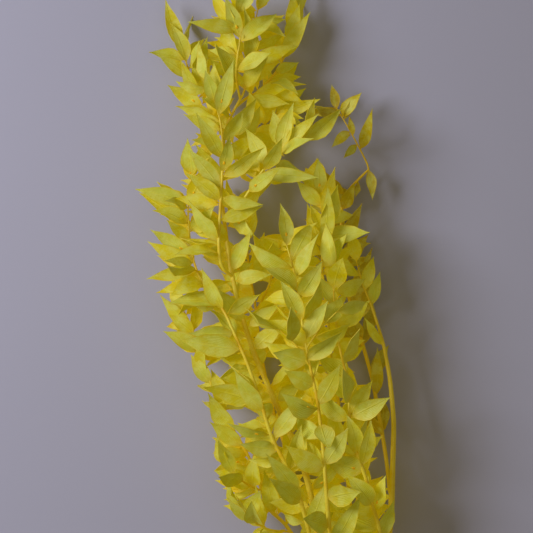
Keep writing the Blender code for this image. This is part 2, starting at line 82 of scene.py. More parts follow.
def mixed(tree, factor, first, second, blend="MIX"):
    """Two colours mixed by a factor."""
    mix = tree.nodes.new("ShaderNodeMix")
    mix.data_type = "RGBA"
    mix.blend_type = blend
    return feed(mix, {"Factor": factor, "A": first, "B": second}).outputs["Result"]


bpy.ops.mesh.primitive_plane_add(size=9, location=(0, 0, 0))
surface = bpy.context.active_object
surface.name = "pale_surface"
surface_finish, tree, shader = new_finish("pale_surface")
place = tree.nodes.new("ShaderNodeTexCoord").outputs["Object"]
cloud = noise(tree, {"Vector": place, "Scale": 2.2, "Detail": 3})
cool_grey = mixed(tree, cloud, (0.460, 0.458, 0.600, 1), (0.485, 0.483, 0.630, 1))
feed(shader, {"Base Color": cool_grey, "Roughness": 0.9, "Specular IOR Level": 0.15})
surface.data.materials.append(surface_finish)

# The light: one large soft lamp high on the left, a weak wide one overhead, and a dim warm surround.
# The lamp stands low enough for each blade to throw a soft shadow to the right.
bpy.ops.object.light_add(type="AREA", location=(-1.45, 0.55, 1.35))
lamp = bpy.context.active_object
lamp.name = "window_light"
lamp.data.shape = "DISK"
lamp.data.size = 1.0
lamp.data.energy = 26
lamp.data.color = (0.97, 0.98, 1.05)
lit_spot = Vector((0.0, 0.12, 0.03))
lamp.rotation_euler = (lit_spot - lamp.location).to_track_quat("-Z", "Y").to_euler()
bpy.ops.object.light_add(type="AREA", location=(0.25, 0.1, 2.6))
ceiling = bpy.context.active_object
ceiling.name = "ceiling_bounce"
ceiling.data.size = 2.2
ceiling.data.energy = 7
ceiling.data.color = (1.0, 0.92, 0.76)
world = bpy.data.worlds.new("soft_surround")
world.use_nodes = True
feed(world.node_tree.nodes["Background"], {"Color": (1.0, 0.82, 0.38, 1), "Strength": 0.12})
bpy.context.scene.world = world
bpy.ops.object.select_all(action="DESELECT")


# The cut stalk and the thick bare branch that arches up the right side: woody, 8 mm across at the cut,
# pale yellow where the dye is thin, with fine ridges along it. Tubes follow the routes of the CAD stems.
# From here on lengths are in mm, which mm turns into metres, and draw gives the same numbers on every run.
mm = 0.001
draw = random.Random(5)
ring_spacing = 6.0
thinnest_radius = 0.45
unevenness = 0.045
ridge_pattern_length = 10
relief_depth = 0.0004


def smooth_line(rings, step):
    """Rings (x, y, z, radius) about a step apart on the smooth curve through a stem's own rings."""
    points = [Vector(ring) for ring in rings]
    ends = [2 * points[0] - points[1], *points, 2 * points[-1] - points[-2]]
    line = []
    for before, start, end, after in zip(ends, ends[1:], ends[2:], ends[3:]):
        cuts = max(1, round((end - start).length / step))
        for cut in range(cuts):
            t = cut / cuts
            line.append(
                0.5 * (2 * start + (end - before) * t + (2 * before - 5 * start + 4 * end - after) * t * t
                       + (3 * start - before - 3 * end + after) * t ** 3)
            )
    return [*line, points[-1]]


def stem_tube(rings, around, finish):
    """A tapered tube: a grid rolled round the line, closed along its seam and at both ends."""
    line = smooth_line(rings, ring_spacing)
    last = len(line) - 1
    bpy.ops.mesh.primitive_grid_add(x_subdivisions=around, y_subdivisions=last, size=1, calc_uvs=True)
    tube = bpy.context.active_object
    wobble = [draw.uniform(-1, 1) for _ in line]
    frames = []
    across = Vector((0.1, 0.05, 1))
    for i, ring in enumerate(line):
        ahead = line[min(i + 1, last)].xyz - line[max(i - 1, 0)].xyz
        along = ahead.normalized()
        across = (across - along * across.dot(along)).normalized()
        radius = max(ring.w, thinnest_radius) * (1 + unevenness * wobble[i])
        frames.append((ring.xyz, across, along.cross(across), radius))
    reach = [0.0]
    for start, end in zip(line, line[1:]):
        reach.append(reach[-1] + (end.xyz - start.xyz).length)
    unwrapped = tube.data.uv_layers.active.data
    for loop in tube.data.loops:
        flat = tube.data.vertices[loop.vertex_index].co
        i = round((flat.y + 0.5) * last)
        unwrapped[loop.index].uv = (flat.x + 0.5, reach[i] / ridge_pattern_length)
    for vertex in tube.data.vertices:
        i = round((vertex.co.y + 0.5) * last)
        turn = 2 * math.pi * (vertex.co.x + 0.5)
        centre, across, beside, radius = frames[i]
        vertex.co = mm * (centre + radius * (math.cos(turn) * across + math.sin(turn) * beside))
    bpy.ops.object.mode_set(mode="EDIT")
    bpy.ops.mesh.select_all(action="SELECT")
    bpy.ops.mesh.remove_doubles(threshold=0.02 * mm)
    bpy.ops.mesh.select_all(action="DESELECT")
    bpy.ops.mesh.select_non_manifold()
    bpy.ops.mesh.fill_holes(sides=0)
    bpy.ops.mesh.select_all(action="SELECT")
    bpy.ops.mesh.normals_make_consistent(inside=False)
    bpy.ops.object.mode_set(mode="OBJECT")
    tube.data.materials.append(finish)
    bpy.ops.object.shade_smooth_by_angle(angle=math.radians(50))
    return tube


def joined(parts, name):
    """One piece from several, its own name on it and on its mesh."""
    bpy.ops.object.select_all(action="DESELECT")
    for part in parts:
        part.select_set(True)
    bpy.context.view_layer.objects.active = parts[0]
    bpy.ops.object.join()
    piece = bpy.context.active_object
    piece.name = name
    piece.data.name = name
    bpy.ops.object.select_all(action="DESELECT")
    return piece


def computed(tree, operation, *values):
    """The result of a Math node on numbers and other nodes' outputs."""
    node = tree.nodes.new("ShaderNodeMath")
    node.operation = operation
    return feed(node, dict(enumerate(values))).outputs["Value"]


def spread(tree, value, low, high, ease="LINEAR"):
    """A value's run from low to high, spread over 0 to 1."""
    node = tree.nodes.new("ShaderNodeMapRange")
    node.interpolation_type = ease
    return feed(node, {"Value": value, "From Min": low, "From Max": high}).outputs["Result"]


def bumped(tree, height, strength):
    """The normals of a fine relief."""
    node = tree.nodes.new("ShaderNodeBump")
    return feed(node, {"Strength": strength, "Distance": relief_depth, "Height": height}).outputs["Normal"]


def new_group(name, inputs, outputs):
    """A shader node group with plain number inputs and outputs, and its two end nodes."""
    group = bpy.data.node_groups.new(name, "ShaderNodeTree")
    for in_out, sockets in (("INPUT", inputs), ("OUTPUT", outputs)):
        for socket in sockets:
            group.interface.new_socket(socket, in_out=in_out, socket_type="NodeSocketFloat")
    return group, group.nodes.new("NodeGroupInput").outputs, group.nodes.new("NodeGroupOutput")


def mottle_group():
    """Dye that has taken unevenly: a mask from 0 to 1 in soft clouds with finer flecks."""
    group, given, put = new_group("uneven_dye", ("Cloud Scale", "Fleck Scale"), ("Mask",))
    place = group.nodes.new("ShaderNodeTexCoord").outputs["Object"]
    clouds = noise(group, {"Vector": place, "Scale": given["Cloud Scale"], "Detail": 3})
    flecks = noise(group, {"Vector": place, "Scale": given["Fleck Scale"], "Detail": 4})
    fleck_share = 0.35
    both = computed(group, "MULTIPLY_ADD", flecks, fleck_share, clouds)
    feed(put, {"Mask": spread(group, both, low=0.58, high=0.80)})
    return group


uneven_dye = mottle_group()


def dye_mask(tree, cloud_scale, fleck_scale):
    """The mask of uneven dye, at a finish's own scales."""
    node = tree.nodes.new("ShaderNodeGroup")
    node.node_tree = uneven_dye
    return feed(node, {"Cloud Scale": cloud_scale, "Fleck Scale": fleck_scale}).outputs["Mask"]


def stem_finish(name, pale, deep):
    """Dyed woody stem: pale ridges, and darker amber in the furrows between them.

    The dye is also deeper in patches. Low in the spray, nearest the surface, the stem is deeper amber as
    painted shade, and it has a faint deep yellow glow of its own, which is painted light."""
    made, tree, shader = new_finish(name)
    uv = tree.nodes.new("ShaderNodeUVMap").outputs["UV"]
    stretched = feed(tree.nodes.new("ShaderNodeMapping"), {"Vector": uv, "Scale": (9, 0.35, 1)})
    ridges = noise(tree, {"Vector": stretched.outputs["Vector"], "Scale": 2.2, "Detail": 4})
    place = tree.nodes.new("ShaderNodeTexCoord").outputs["Object"]
    height = feed(tree.nodes.new("ShaderNodeSeparateXYZ"), {"Vector": place}).outputs["Z"]
    # Painted shade: deeper amber low down, nearest the surface, besides the deeper patches of dye.
    low_painted_shade = spread(tree, height, low=0.075, high=0.020)
    dyed = computed(tree, "MAXIMUM", low_painted_shade, dye_mask(tree, cloud_scale=45, fleck_scale=700))
    patches = mixed(tree, dyed, (*pale, 1), (*deep, 1))
    furrows = spread(tree, ridges, low=0.55, high=0.75)
    feed(shader, {
        "Base Color": mixed(tree, furrows, patches, (0.78, 0.62, 0.22, 1), "MULTIPLY"),
        "Normal": bumped(tree, ridges, strength=0.6),
        "Roughness": 0.5,
        # Painted light: a faint deep yellow glow of the stem's own.
        "Emission Color": (1.0, 0.72, 0.0, 1),
        "Emission Strength": 0.09,
    })
    return made


stem_dye = stem_finish("dyed_stem", pale=(0.74, 0.63, 0.055), deep=(0.70, 0.45, 0.004))


def stems_piece(name, node, shoots, around):
    """The stems of one branch as one piece in place of the CAD's."""
    piece = joined([stem_tube(rings, around, stem_dye) for rings in shoots], name)
    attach(piece, "root")
    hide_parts(node)
    return piece


# A shoot is a row of rings: x, y, z and radius. A blade is the x, y, z of its foot, its heading, climb and roll
# in degrees, its length and width, its fold, bow and twist in degrees, and how deep its tint is, from 0 to 9:
# partly its dye, and partly painted shade, deeper on the blades low in the spray.
arching_shoots = [
    [
        (78.8, -378.8, 3.9, 3.9), (80.8, -354.8, 4.7, 3.89), (85.8, -322.8, 12.3, 3.87),
        (90.2, -305.5, 18.9, 3.82), (95.8, -286.8, 26.3, 3.77), (102.7, -266.1, 33.7, 3.69),
        (109.8, -244.8, 40.3, 3.6), (115.9, -224.1, 45, 3.49), (120.8, -204.8, 48.3, 3.36),
        (124.8, -174.8, 51.3, 3.22), (126, -151.1, 52.1, 3.06), (126.8, -124.8, 52.3, 2.89),
        (127.6, -98.9, 51.5, 2.69), (127.8, -74.8, 50.3, 2.48), (124.8, -39.8, 48.3, 2.26),
        (121.8, -20.1, 47.4, 2.02), (117.8, 0.2, 46.3, 1.76), (111.8, 20.9, 44.3, 1.48),
        (105.8, 39.2, 42.3, 1.19), (97.8, 59.2, 40.3, 0.88), (90.8, 83.2, 38.3, 0.55),
    ],
]
arching_blades = [
    (105.8, 39.1, 42.3, 74, -23, -5, 36.7, 13, 11, 24, 2, 0),
    (99.6, 54.6, 40.8, 81, 7, -4, 36.3, 14, 12, -32, -6, 0),
    (90.8, 83.2, 38.3, 99, 6, -13, 33.1, 15, 11, -4, 19, 2),
    (94.8, 69.4, 39.4, 141, -3, -48, 29.6, 14, 19, -30, 29, 1),
    (118, -0.9, 46.4, 122, 1, -36, 34.1, 13, 11, 4, -7, 0),
]
stems_piece("arching_branch_stem", "stalk_and_arching_branch", arching_shoots, around=14)


# The leaf blades: flat pointed stems that look like leaves, mostly 30 to 55 mm long, leathery when fresh and
# papery when dried, each on a short stalk. One is modelled flat, as a grid drawn in to the blade's width all
# along and thickened like paper, and each copy of it is bent into its place.
blade_length = 50.0
blade_width = 20.0
blade_stations = (0, 0.045, 0.12, 0.24, 0.38, 0.53, 0.68, 0.81, 0.91, 1)
blade_halves = (0.055, 0.13, 0.47, 0.84, 1.0, 0.93, 0.68, 0.38, 0.145, 0.012)
paper_thickness = 0.5
last_station = len(blade_stations) - 1
bpy.ops.mesh.primitive_grid_add(x_subdivisions=last_station, y_subdivisions=2, size=1, calc_uvs=True)
master = bpy.context.active_object
master.name = "flat_blade"
bpy.ops.object.mode_set(mode="EDIT")
bpy.ops.mesh.select_all(action="SELECT")
bpy.ops.transform.translate(value=(0.5, 0, 0))
bpy.ops.transform.resize(value=(blade_length, blade_width, 1), center_override=(0, 0, 0))
bpy.ops.object.mode_set(mode="OBJECT")
for vertex in master.data.vertices:
    station = round(vertex.co.x / blade_length * last_station)
    vertex.co.x = blade_stations[station] * blade_length
    vertex.co.y *= blade_halves[station]
solid = master.modifiers.new("paper", "SOLIDIFY")
solid.thickness = paper_thickness
solid.offset = 0
bpy.ops.object.modifier_apply(modifier=solid.name)
master_flat = np.array([tuple(vertex.co) for vertex in master.data.vertices])
master.data.attributes.new("blade_tint", "FLOAT", "POINT")
bpy.ops.object.shade_smooth_by_angle(angle=math.radians(60))


def vein_group():
    """Fine veins that run from the blade's base to its tip and meet there, and one stronger midrib.

    It also gives masks for the margin and for the root."""
    group, given, put = new_group("lengthwise_veins", ("Count",), ("Veins", "Midrib", "Margin", "Root"))
    uv = group.nodes.new("ShaderNodeUVMap").outputs["UV"]
    split = feed(group.nodes.new("ShaderNodeSeparateXYZ"), {"Vector": uv})
    along, across = split.outputs["X"], split.outputs["Y"]
    waver = noise(group, {"Vector": uv, "Scale": 3})
    waver_share = 0.03
    wavered = computed(group, "MULTIPLY_ADD", waver, waver_share, across)
    wave = computed(group, "SINE", computed(group, "MULTIPLY", wavered, given["Count"]))
    aside = computed(group, "ABSOLUTE", computed(group, "SUBTRACT", across, 0.5))
    feed(put, {
        "Veins": spread(group, wave, low=-0.2, high=1),
        "Midrib": spread(group, aside, low=0.045, high=0.0, ease="SMOOTHSTEP"),
        "Margin": spread(group, aside, low=0.38, high=0.5, ease="SMOOTHSTEP"),
        "Root": spread(group, along, low=0.38, high=0.0),
    })
    return group


lengthwise_veins = vein_group()


def blade_finish():
    """Dyed, papery blade: lime yellow on most, deeper yellow on some, orange at the root and the margin.

    The deeper yellow is partly dye that varies from blade to blade and partly painted shade on the blades low
    in the spray, and the pale lime patches are partly painted sheen. The light that comes through such a thin
    blade is given as a faint deep yellow glow of its own, which is painted light."""
    made, tree, shader = new_finish("dyed_blade")
    attribute = tree.nodes.new("ShaderNodeAttribute")
    attribute.attribute_name = "blade_tint"
    tint = attribute.outputs["Fac"]
    ramp = feed(tree.nodes.new("ShaderNodeValToRGB"), {"Fac": tint})
    ramp.color_ramp.elements[0].color = (0.59, 0.63, 0.085, 1)
    ramp.color_ramp.elements[1].color = (0.64, 0.43, 0.0, 1)
    ramp.color_ramp.elements.new(0.5).color = (0.66, 0.585, 0.001, 1)
    veins = tree.nodes.new("ShaderNodeGroup")
    veins.node_tree = lengthwise_veins
    feed(veins, {"Count": 95})
    layers = (
        (dye_mask(tree, cloud_scale=60, fleck_scale=900), 0.6, (0.66, 0.51, 0.002, 1), "MIX"),
        # Pale lime patches where the dye has taken less; they also stand in for the blades' milky sheen, so
        # they are partly painted sheen.
        (dye_mask(tree, cloud_scale=105, fleck_scale=500), 0.65, (0.71, 0.75, 0.19, 1), "MIX"),
        (veins.outputs["Veins"], 0.6, (0.76, 0.64, 0.10, 1), "MULTIPLY"),
        (veins.outputs["Midrib"], 0.55, (0.72, 0.68, 0.05, 1), "MIX"),
        (veins.outputs["Margin"], 0.45, (0.74, 0.50, 0.002, 1), "MIX"),
        (veins.outputs["Root"], 0.85, (0.74, 0.42, 0.001, 1), "MIX"),
    )
    colour = ramp.outputs["Color"]
    for mask, share, tone, blend in layers:
        colour = mixed(tree, computed(tree, "MULTIPLY", mask, share), colour, tone, blend)
    midrib_share = 2.0
    relief = computed(tree, "MULTIPLY_ADD", veins.outputs["Midrib"], midrib_share, veins.outputs["Veins"])
    feed(shader, {
        "Base Color": colour,
        "Normal": bumped(tree, relief, strength=0.5),
        "Roughness": 0.48,
        "Specular IOR Level": 0.4,
        # Painted light: the glow is weaker on the lime blades and a stronger deep yellow on the deep-tinted
        # blades low in the spray.
        "Emission Color": mixed(tree, tint, (0.44, 0.42, 0.0, 1), (0.98, 0.78, 0.0, 1)),
        "Emission Strength": 0.17,
    })
    return made


blade_dye = blade_finish()
master.data.materials.append(blade_dye)

# How dried blades differ from one another, drawn from these ranges, with lengths in mm.
extra_fold = (-4, 18)
margin_waves = (1.0, 2.4)
wave_height = (0.4, 2.6)
cupping = (-0.020, 0.032)
tip_curl = (-0.45, 0.25)
curled_from = 0.6
lopsidedness = (-0.14, 0.14)
sideways_curve = (-0.13, 0.13)
dye_and_shade_step = 0.135
dye_spread = 0.18

# The shape of every blade: narrowed a little, rounded along its midrib, never without any bend,
# and never lower than the surface that the stem lies on.
width_share = 0.95
midrib_rounding = 0.8
midrib_drop = 0.9
least_bend = 1e-6
least_height = 0.3


def turned_by(heading, climb, roll):
    """The turn that brings what lies along x into the place of a blade."""
    return (
        Matrix.Rotation(math.radians(heading), 3, "Z")
        @ Matrix.Rotation(-math.radians(climb), 3, "Y")
        @ Matrix.Rotation(math.radians(roll), 3, "X")
    )


def own_copy(model):
    """A copy of a model with a mesh of its own."""
    copy = model.copy()
    copy.data = model.data.copy()
    bpy.context.scene.collection.objects.link(copy)
    return copy


def bent_blade(row, deeper):
    """A copy of the flat blade, folded along its midrib, bowed, twisted and turned into its place."""
    x, y, z, heading, climb, roll, length, width, fold, bow, twist, dye = row
    share = master_flat[:, 0] / blade_length
    aside = master_flat[:, 1] * width_share * width / blade_width
    edge = aside / (width / 2)
    trough = np.sqrt(aside ** 2 + midrib_rounding) - midrib_drop
    raised = trough * math.tan(math.radians(fold + draw.uniform(*extra_fold))) + master_flat[:, 2]
    for margin in (-1, 1):
        waves = np.sin(2 * np.pi * (share * draw.uniform(*margin_waves) + draw.random()))
        raised += draw.uniform(*wave_height) * waves * np.clip(margin * edge, 0, 1) ** 2
    raised += draw.uniform(*cupping) * aside ** 2
    raised += draw.uniform(*tip_curl) * length * np.clip(share - curled_from, 0, 1) ** 2
    wider_side = 1 + draw.uniform(*lopsidedness) * np.sign(aside)
    curved = draw.uniform(*sideways_curve) * length * share ** 2
    aside = aside * wider_side + curved
    spin = math.radians(twist) * share
    aside, raised = (
        aside * np.cos(spin) - raised * np.sin(spin),
        aside * np.sin(spin) + raised * np.cos(spin),
    )
    bend = math.radians(bow) * share
    bend = np.where(np.abs(bend) < least_bend, least_bend, bend)
    reach = length * share
    points = np.stack([
        reach * np.sin(bend) / bend - raised * np.sin(bend),
        aside,
        reach * (1 - np.cos(bend)) / bend + raised * np.cos(bend),
    ])
    points = (np.array(turned_by(heading, climb, roll)) @ points).T + np.array((x, y, z))
    points[:, 2] = np.maximum(points[:, 2], least_height + master_flat[:, 2])
    blade = own_copy(master)
    blade.data.vertices.foreach_set("co", (points * mm).ravel())
    # The tint is painted shade as well as dye: the table's deep tints of the low blades and a shaded branch's
    # deeper value darken it, and a random spread varies the dye.
    tint = min(1.0, max(0.0, dye_and_shade_step * dye + deeper + draw.gauss(0.0, dye_spread)))
    blade.data.attributes["blade_tint"].data.foreach_set("value", [tint] * len(points))
    return blade


def blades_piece(name, node, rows, deeper=0.0):
    """All the blades of one branch as one piece in place of the CAD's. A deeper value darkens all their tints,
    as painted shade.
    """
    piece = joined([bent_blade(row, deeper) for row in rows], name)
    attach(piece, "root")
    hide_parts(node)
    return piece


blades_piece("arching_branch_blades", "stalk_and_arching_branch", arching_blades)


# The thin branch behind the arching one, grown from the stalk 240 mm above the cut: 4 mm across at its foot,
# sharply kinked near its top, with small blades that hang and point outwards. They are browner and darker than
# the rest and glow less, as painted shade, for the branch lies low behind the others.
back_right_shoots = [
    [
        (124.7, -152.3, 46.9, 1.11), (124.1, -146, 44.6, 2.1), (123.5, -139.8, 42.5, 2.1),
        (122.9, -133.5, 40.4, 2.1), (122.2, -127.3, 38.3, 2.1), (120.8, -114.8, 34.3, 2.08),
        (116.8, -89.1, 27.4, 2.06), (112.8, -65.8, 22.3, 2.03), (106.8, -34.8, 19.3, 1.99),
        (101, -12.8, 18.2, 1.95), (94.8, 9.2, 17.3, 1.89), (85.8, 39.2, 16.3, 1.83),
        (77.8, 70.2, 16.3, 1.75), (74.8, 95.2, 17.3, 1.67), (75.8, 120.2, 18.3, 1.58),
        (76.8, 140.2, 19.3, 1.48), (82.8, 155.2, 20.3, 1.37), (99.8, 173.2, 22.3, 1.26),
        (103.3, 176.7, 23.3, 1.13), (101.8, 182.2, 23.3, 1), (93.8, 198.2, 24.3, 0.86),
        (81.8, 220.2, 25.3, 0.71), (70.8, 238.2, 26.3, 0.55),
    ],
]
back_right_blades = [
    (86.4, 37.1, 16.4, 75, 13, -2, 65.8, 16, 8, -20, 0, 4),
    (96.5, 3.1, 17.5, 118, 12, 2, 40.1, 16.7, 21, 9, 8, 4),
    (97.9, -1.9, 17.7, 85, -36, 41, 77.8, 18.8, 14, 8, -4, 4),
    (71.3, 237.3, 26.2, 107, -9, 13, 25.3, 11, 20, 18, -5, 0),
    (76.2, 229.3, 25.8, 57, 24, -18, 32.6, 15, 15, -23, -1, 0),
    (94.6, 196.5, 24.2, 66, 41, 4, 49.4, 13, 17, -17, -22, 0),
    (84.7, 214.9, 25.1, -144, 19, 4, 25.4, 11, 21, -26, -5, 0),
    (91.7, 202.1, 24.5, -131, 8, -8, 20.4, 9, 9, 4, -15, 0),
    (103.2, 176.6, 23.3, -81, 10, -2, 31.7, 11, 12, -3, -14, 0),
    (76.6, 136, 19.1, 61, 15, 6, 30.8, 13.9, 20, 7, -23, 0),
    (74.9, 98.5, 17.4, 66, 4, 39, 49.9, 18, 12, 23, -11, 3),
    (110.2, -52.5, 21, 81, 7, -4, 50.8, 14, 12, 16, 0, 0),
    (113.8, -71.8, 23.6, 146, -18, -20, 35.4, 17, 12, 25, -23, 8),
    (116.8, -88.9, 27.4, 84, -41, -28, 42.1, 18, 7, 20, 16, 1),
    (111.8, -60.7, 21.8, 150, 27, 68, 37, 17.7, 8, 19, 21, 6),
    (106.1, -32.1, 19.2, 68, -32, 47, 42.4, 20.1, 10, 5, -14, 2),
    (98.5, -3.9, 17.8, 144, -20, 12, 37.4, 20.2, 7, 27, 16, 8),
    (90.3, 24.1, 16.8, 68, 28, -12, 44.3, 17.9, 20, -25, 2, 4),
    (82.4, 52.3, 16.3, 140, 7, -39, 36.4, 16.5, 16, -12, -44, 8),
    (76.5, 80.8, 16.7, 49, -15, 5, 41.9, 17.9, 9, -4, -15, 7),
    (75.4, 109.9, 17.9, 110, -42, 16, 42.3, 15.1, 21, 16, 0, 7),
    (76.7, 139.1, 19.2, 93, -51, -32, 36.1, 17.7, 19, -13, 17, 5),
    (70.8, 238.2, 26.3, -174, 1, -50, 38.6, 16.2, 6, -9, -14, 4),
    (74.8, 134.8, 20, 166, 29, 35, 32.3, 15.1, 12, -45, -23, 8),
    (78.5, 79.3, 17.9, 22, 35, 27, 35.3, 13.6, 10, 10, 32, 3),
    (115.8, -90.4, 29.9, 140, 44, -63, 38.7, 18.9, 14, -49, 9, 2),
    (76.2, 143.6, 19.6, 136, 5, 67, 45.5, 22, 6, -48, -16, 8),
    (110.8, -68.4, 23.7, 176, 18, -30, 43.3, 18.1, 3, -3, -30, 8),
    (73.7, 87.2, 17, 160, 0, 44, 46, 22.9, 7, 39, -9, 8),
    (79.2, 150.9, 20.5, 136, 18, -58, 39.9, 19.2, 12, -3, 20, 4),
    (76.9, 95, 16.6, 16, -18, -6, 30.7, 13.4, 13, 10, -18, 4),
    (90.2, 16.9, 17.6, 173, 13, -35, 39.5, 17.9, 4, -22, -24, 7),
    (73.7, 118.8, 18.8, 169, 16, 12, 44.2, 16.3, 10, 34, 8, 8),
    (94.7, 1.2, 18.5, 181, 20, 0, 40.7, 16.5, 4, -39, -9, 8),
    (109.4, -60.3, 21, 169, -19, -46, 34.2, 16.1, 6, -18, 31, 9),
    (73.1, 103.3, 17.3, 155, -7, 16, 32.2, 13.7, 6, -17, -13, 8),
    (75, 230.3, 26.5, 156, 35, -55, 38.6, 18, 7, 24, 19, 1),
    (85.7, 48.5, 16.1, 29, -4, 6, 29.5, 14.4, 12, 12, -15, 7),
    (87.7, 210.5, 25.1, 95, 20, -15, 22.4, 7.5, 10, 18, 12, 9),
    (85.3, 211.2, 25.2, -172, 10, 30, 15.4, 7, 10, -20, 12, 9),
    (83.4, 155.5, 20.8, -125, -10, 40, 16.1, 8, 10, -20, 12, 9),
    (92.6, 164.2, 21.8, -104, 15, -30, 17.1, 7, 10, 18, 12, 9),
    (78.9, 226.7, 25.9, 68, 25, 20, 20.3, 7, 10, -20, 12, 9),
]
stems_piece("back_right_stem", "back_right_branch", back_right_shoots, around=10)
# Painted shade: the back right blades get a darker brown end to their tint ramp, a deeper tint and a weaker
# glow.
shaded_back_blade_finish = blade_dye.copy()
shaded_back_blade_finish.name = "blade_in_painted_shade"
feed(shaded_back_blade_finish.node_tree.nodes["Principled BSDF"], {"Emission Strength": 0.06})
shaded_back_blade_finish.node_tree.nodes["Color Ramp"].color_ramp.elements[2].color = (0.44, 0.28, 0.001, 1)
back_right_piece = blades_piece("back_right_blades", "back_right_branch", back_right_blades, deeper=0.7)
back_right_piece.data.materials[0] = shaded_back_blade_finish


# The inner right branch, grown from the stalk 120 mm above the cut, 4 mm across at its foot and 1 mm at its
# tip. It is mostly hidden by its own narrow upright blades.
inner_right_shoots = [
    [
        (95.9, -263.7, 34.8, 2.09), (95, -258.8, 36.5, 2.09), (93.9, -252.8, 38.7, 2.09),
        (92.8, -246.9, 40.7, 2.08), (91.8, -239.8, 42.3, 2.08), (88.8, -209.8, 44.3, 2.05),
        (86.5, -183.6, 44.5, 2), (83.8, -154.8, 44.3, 1.95), (80.7, -128.3, 43.3, 1.88),
        (77.8, -104.8, 42.3, 1.8), (73.8, -74.8, 42.3, 1.71), (71.8, -49.8, 44.3, 1.61),
        (65.8, -19.8, 48.3, 1.49), (62.8, 15.2, 52.3, 1.37), (58.8, 50.2, 56.3, 1.23),
        (55.8, 85.2, 58.3, 1.08), (57.8, 110.2, 58.3, 0.91), (55.8, 135.2, 56.3, 0.74),
        (51.8, 155.2, 54.3, 0.55),
    ],
]
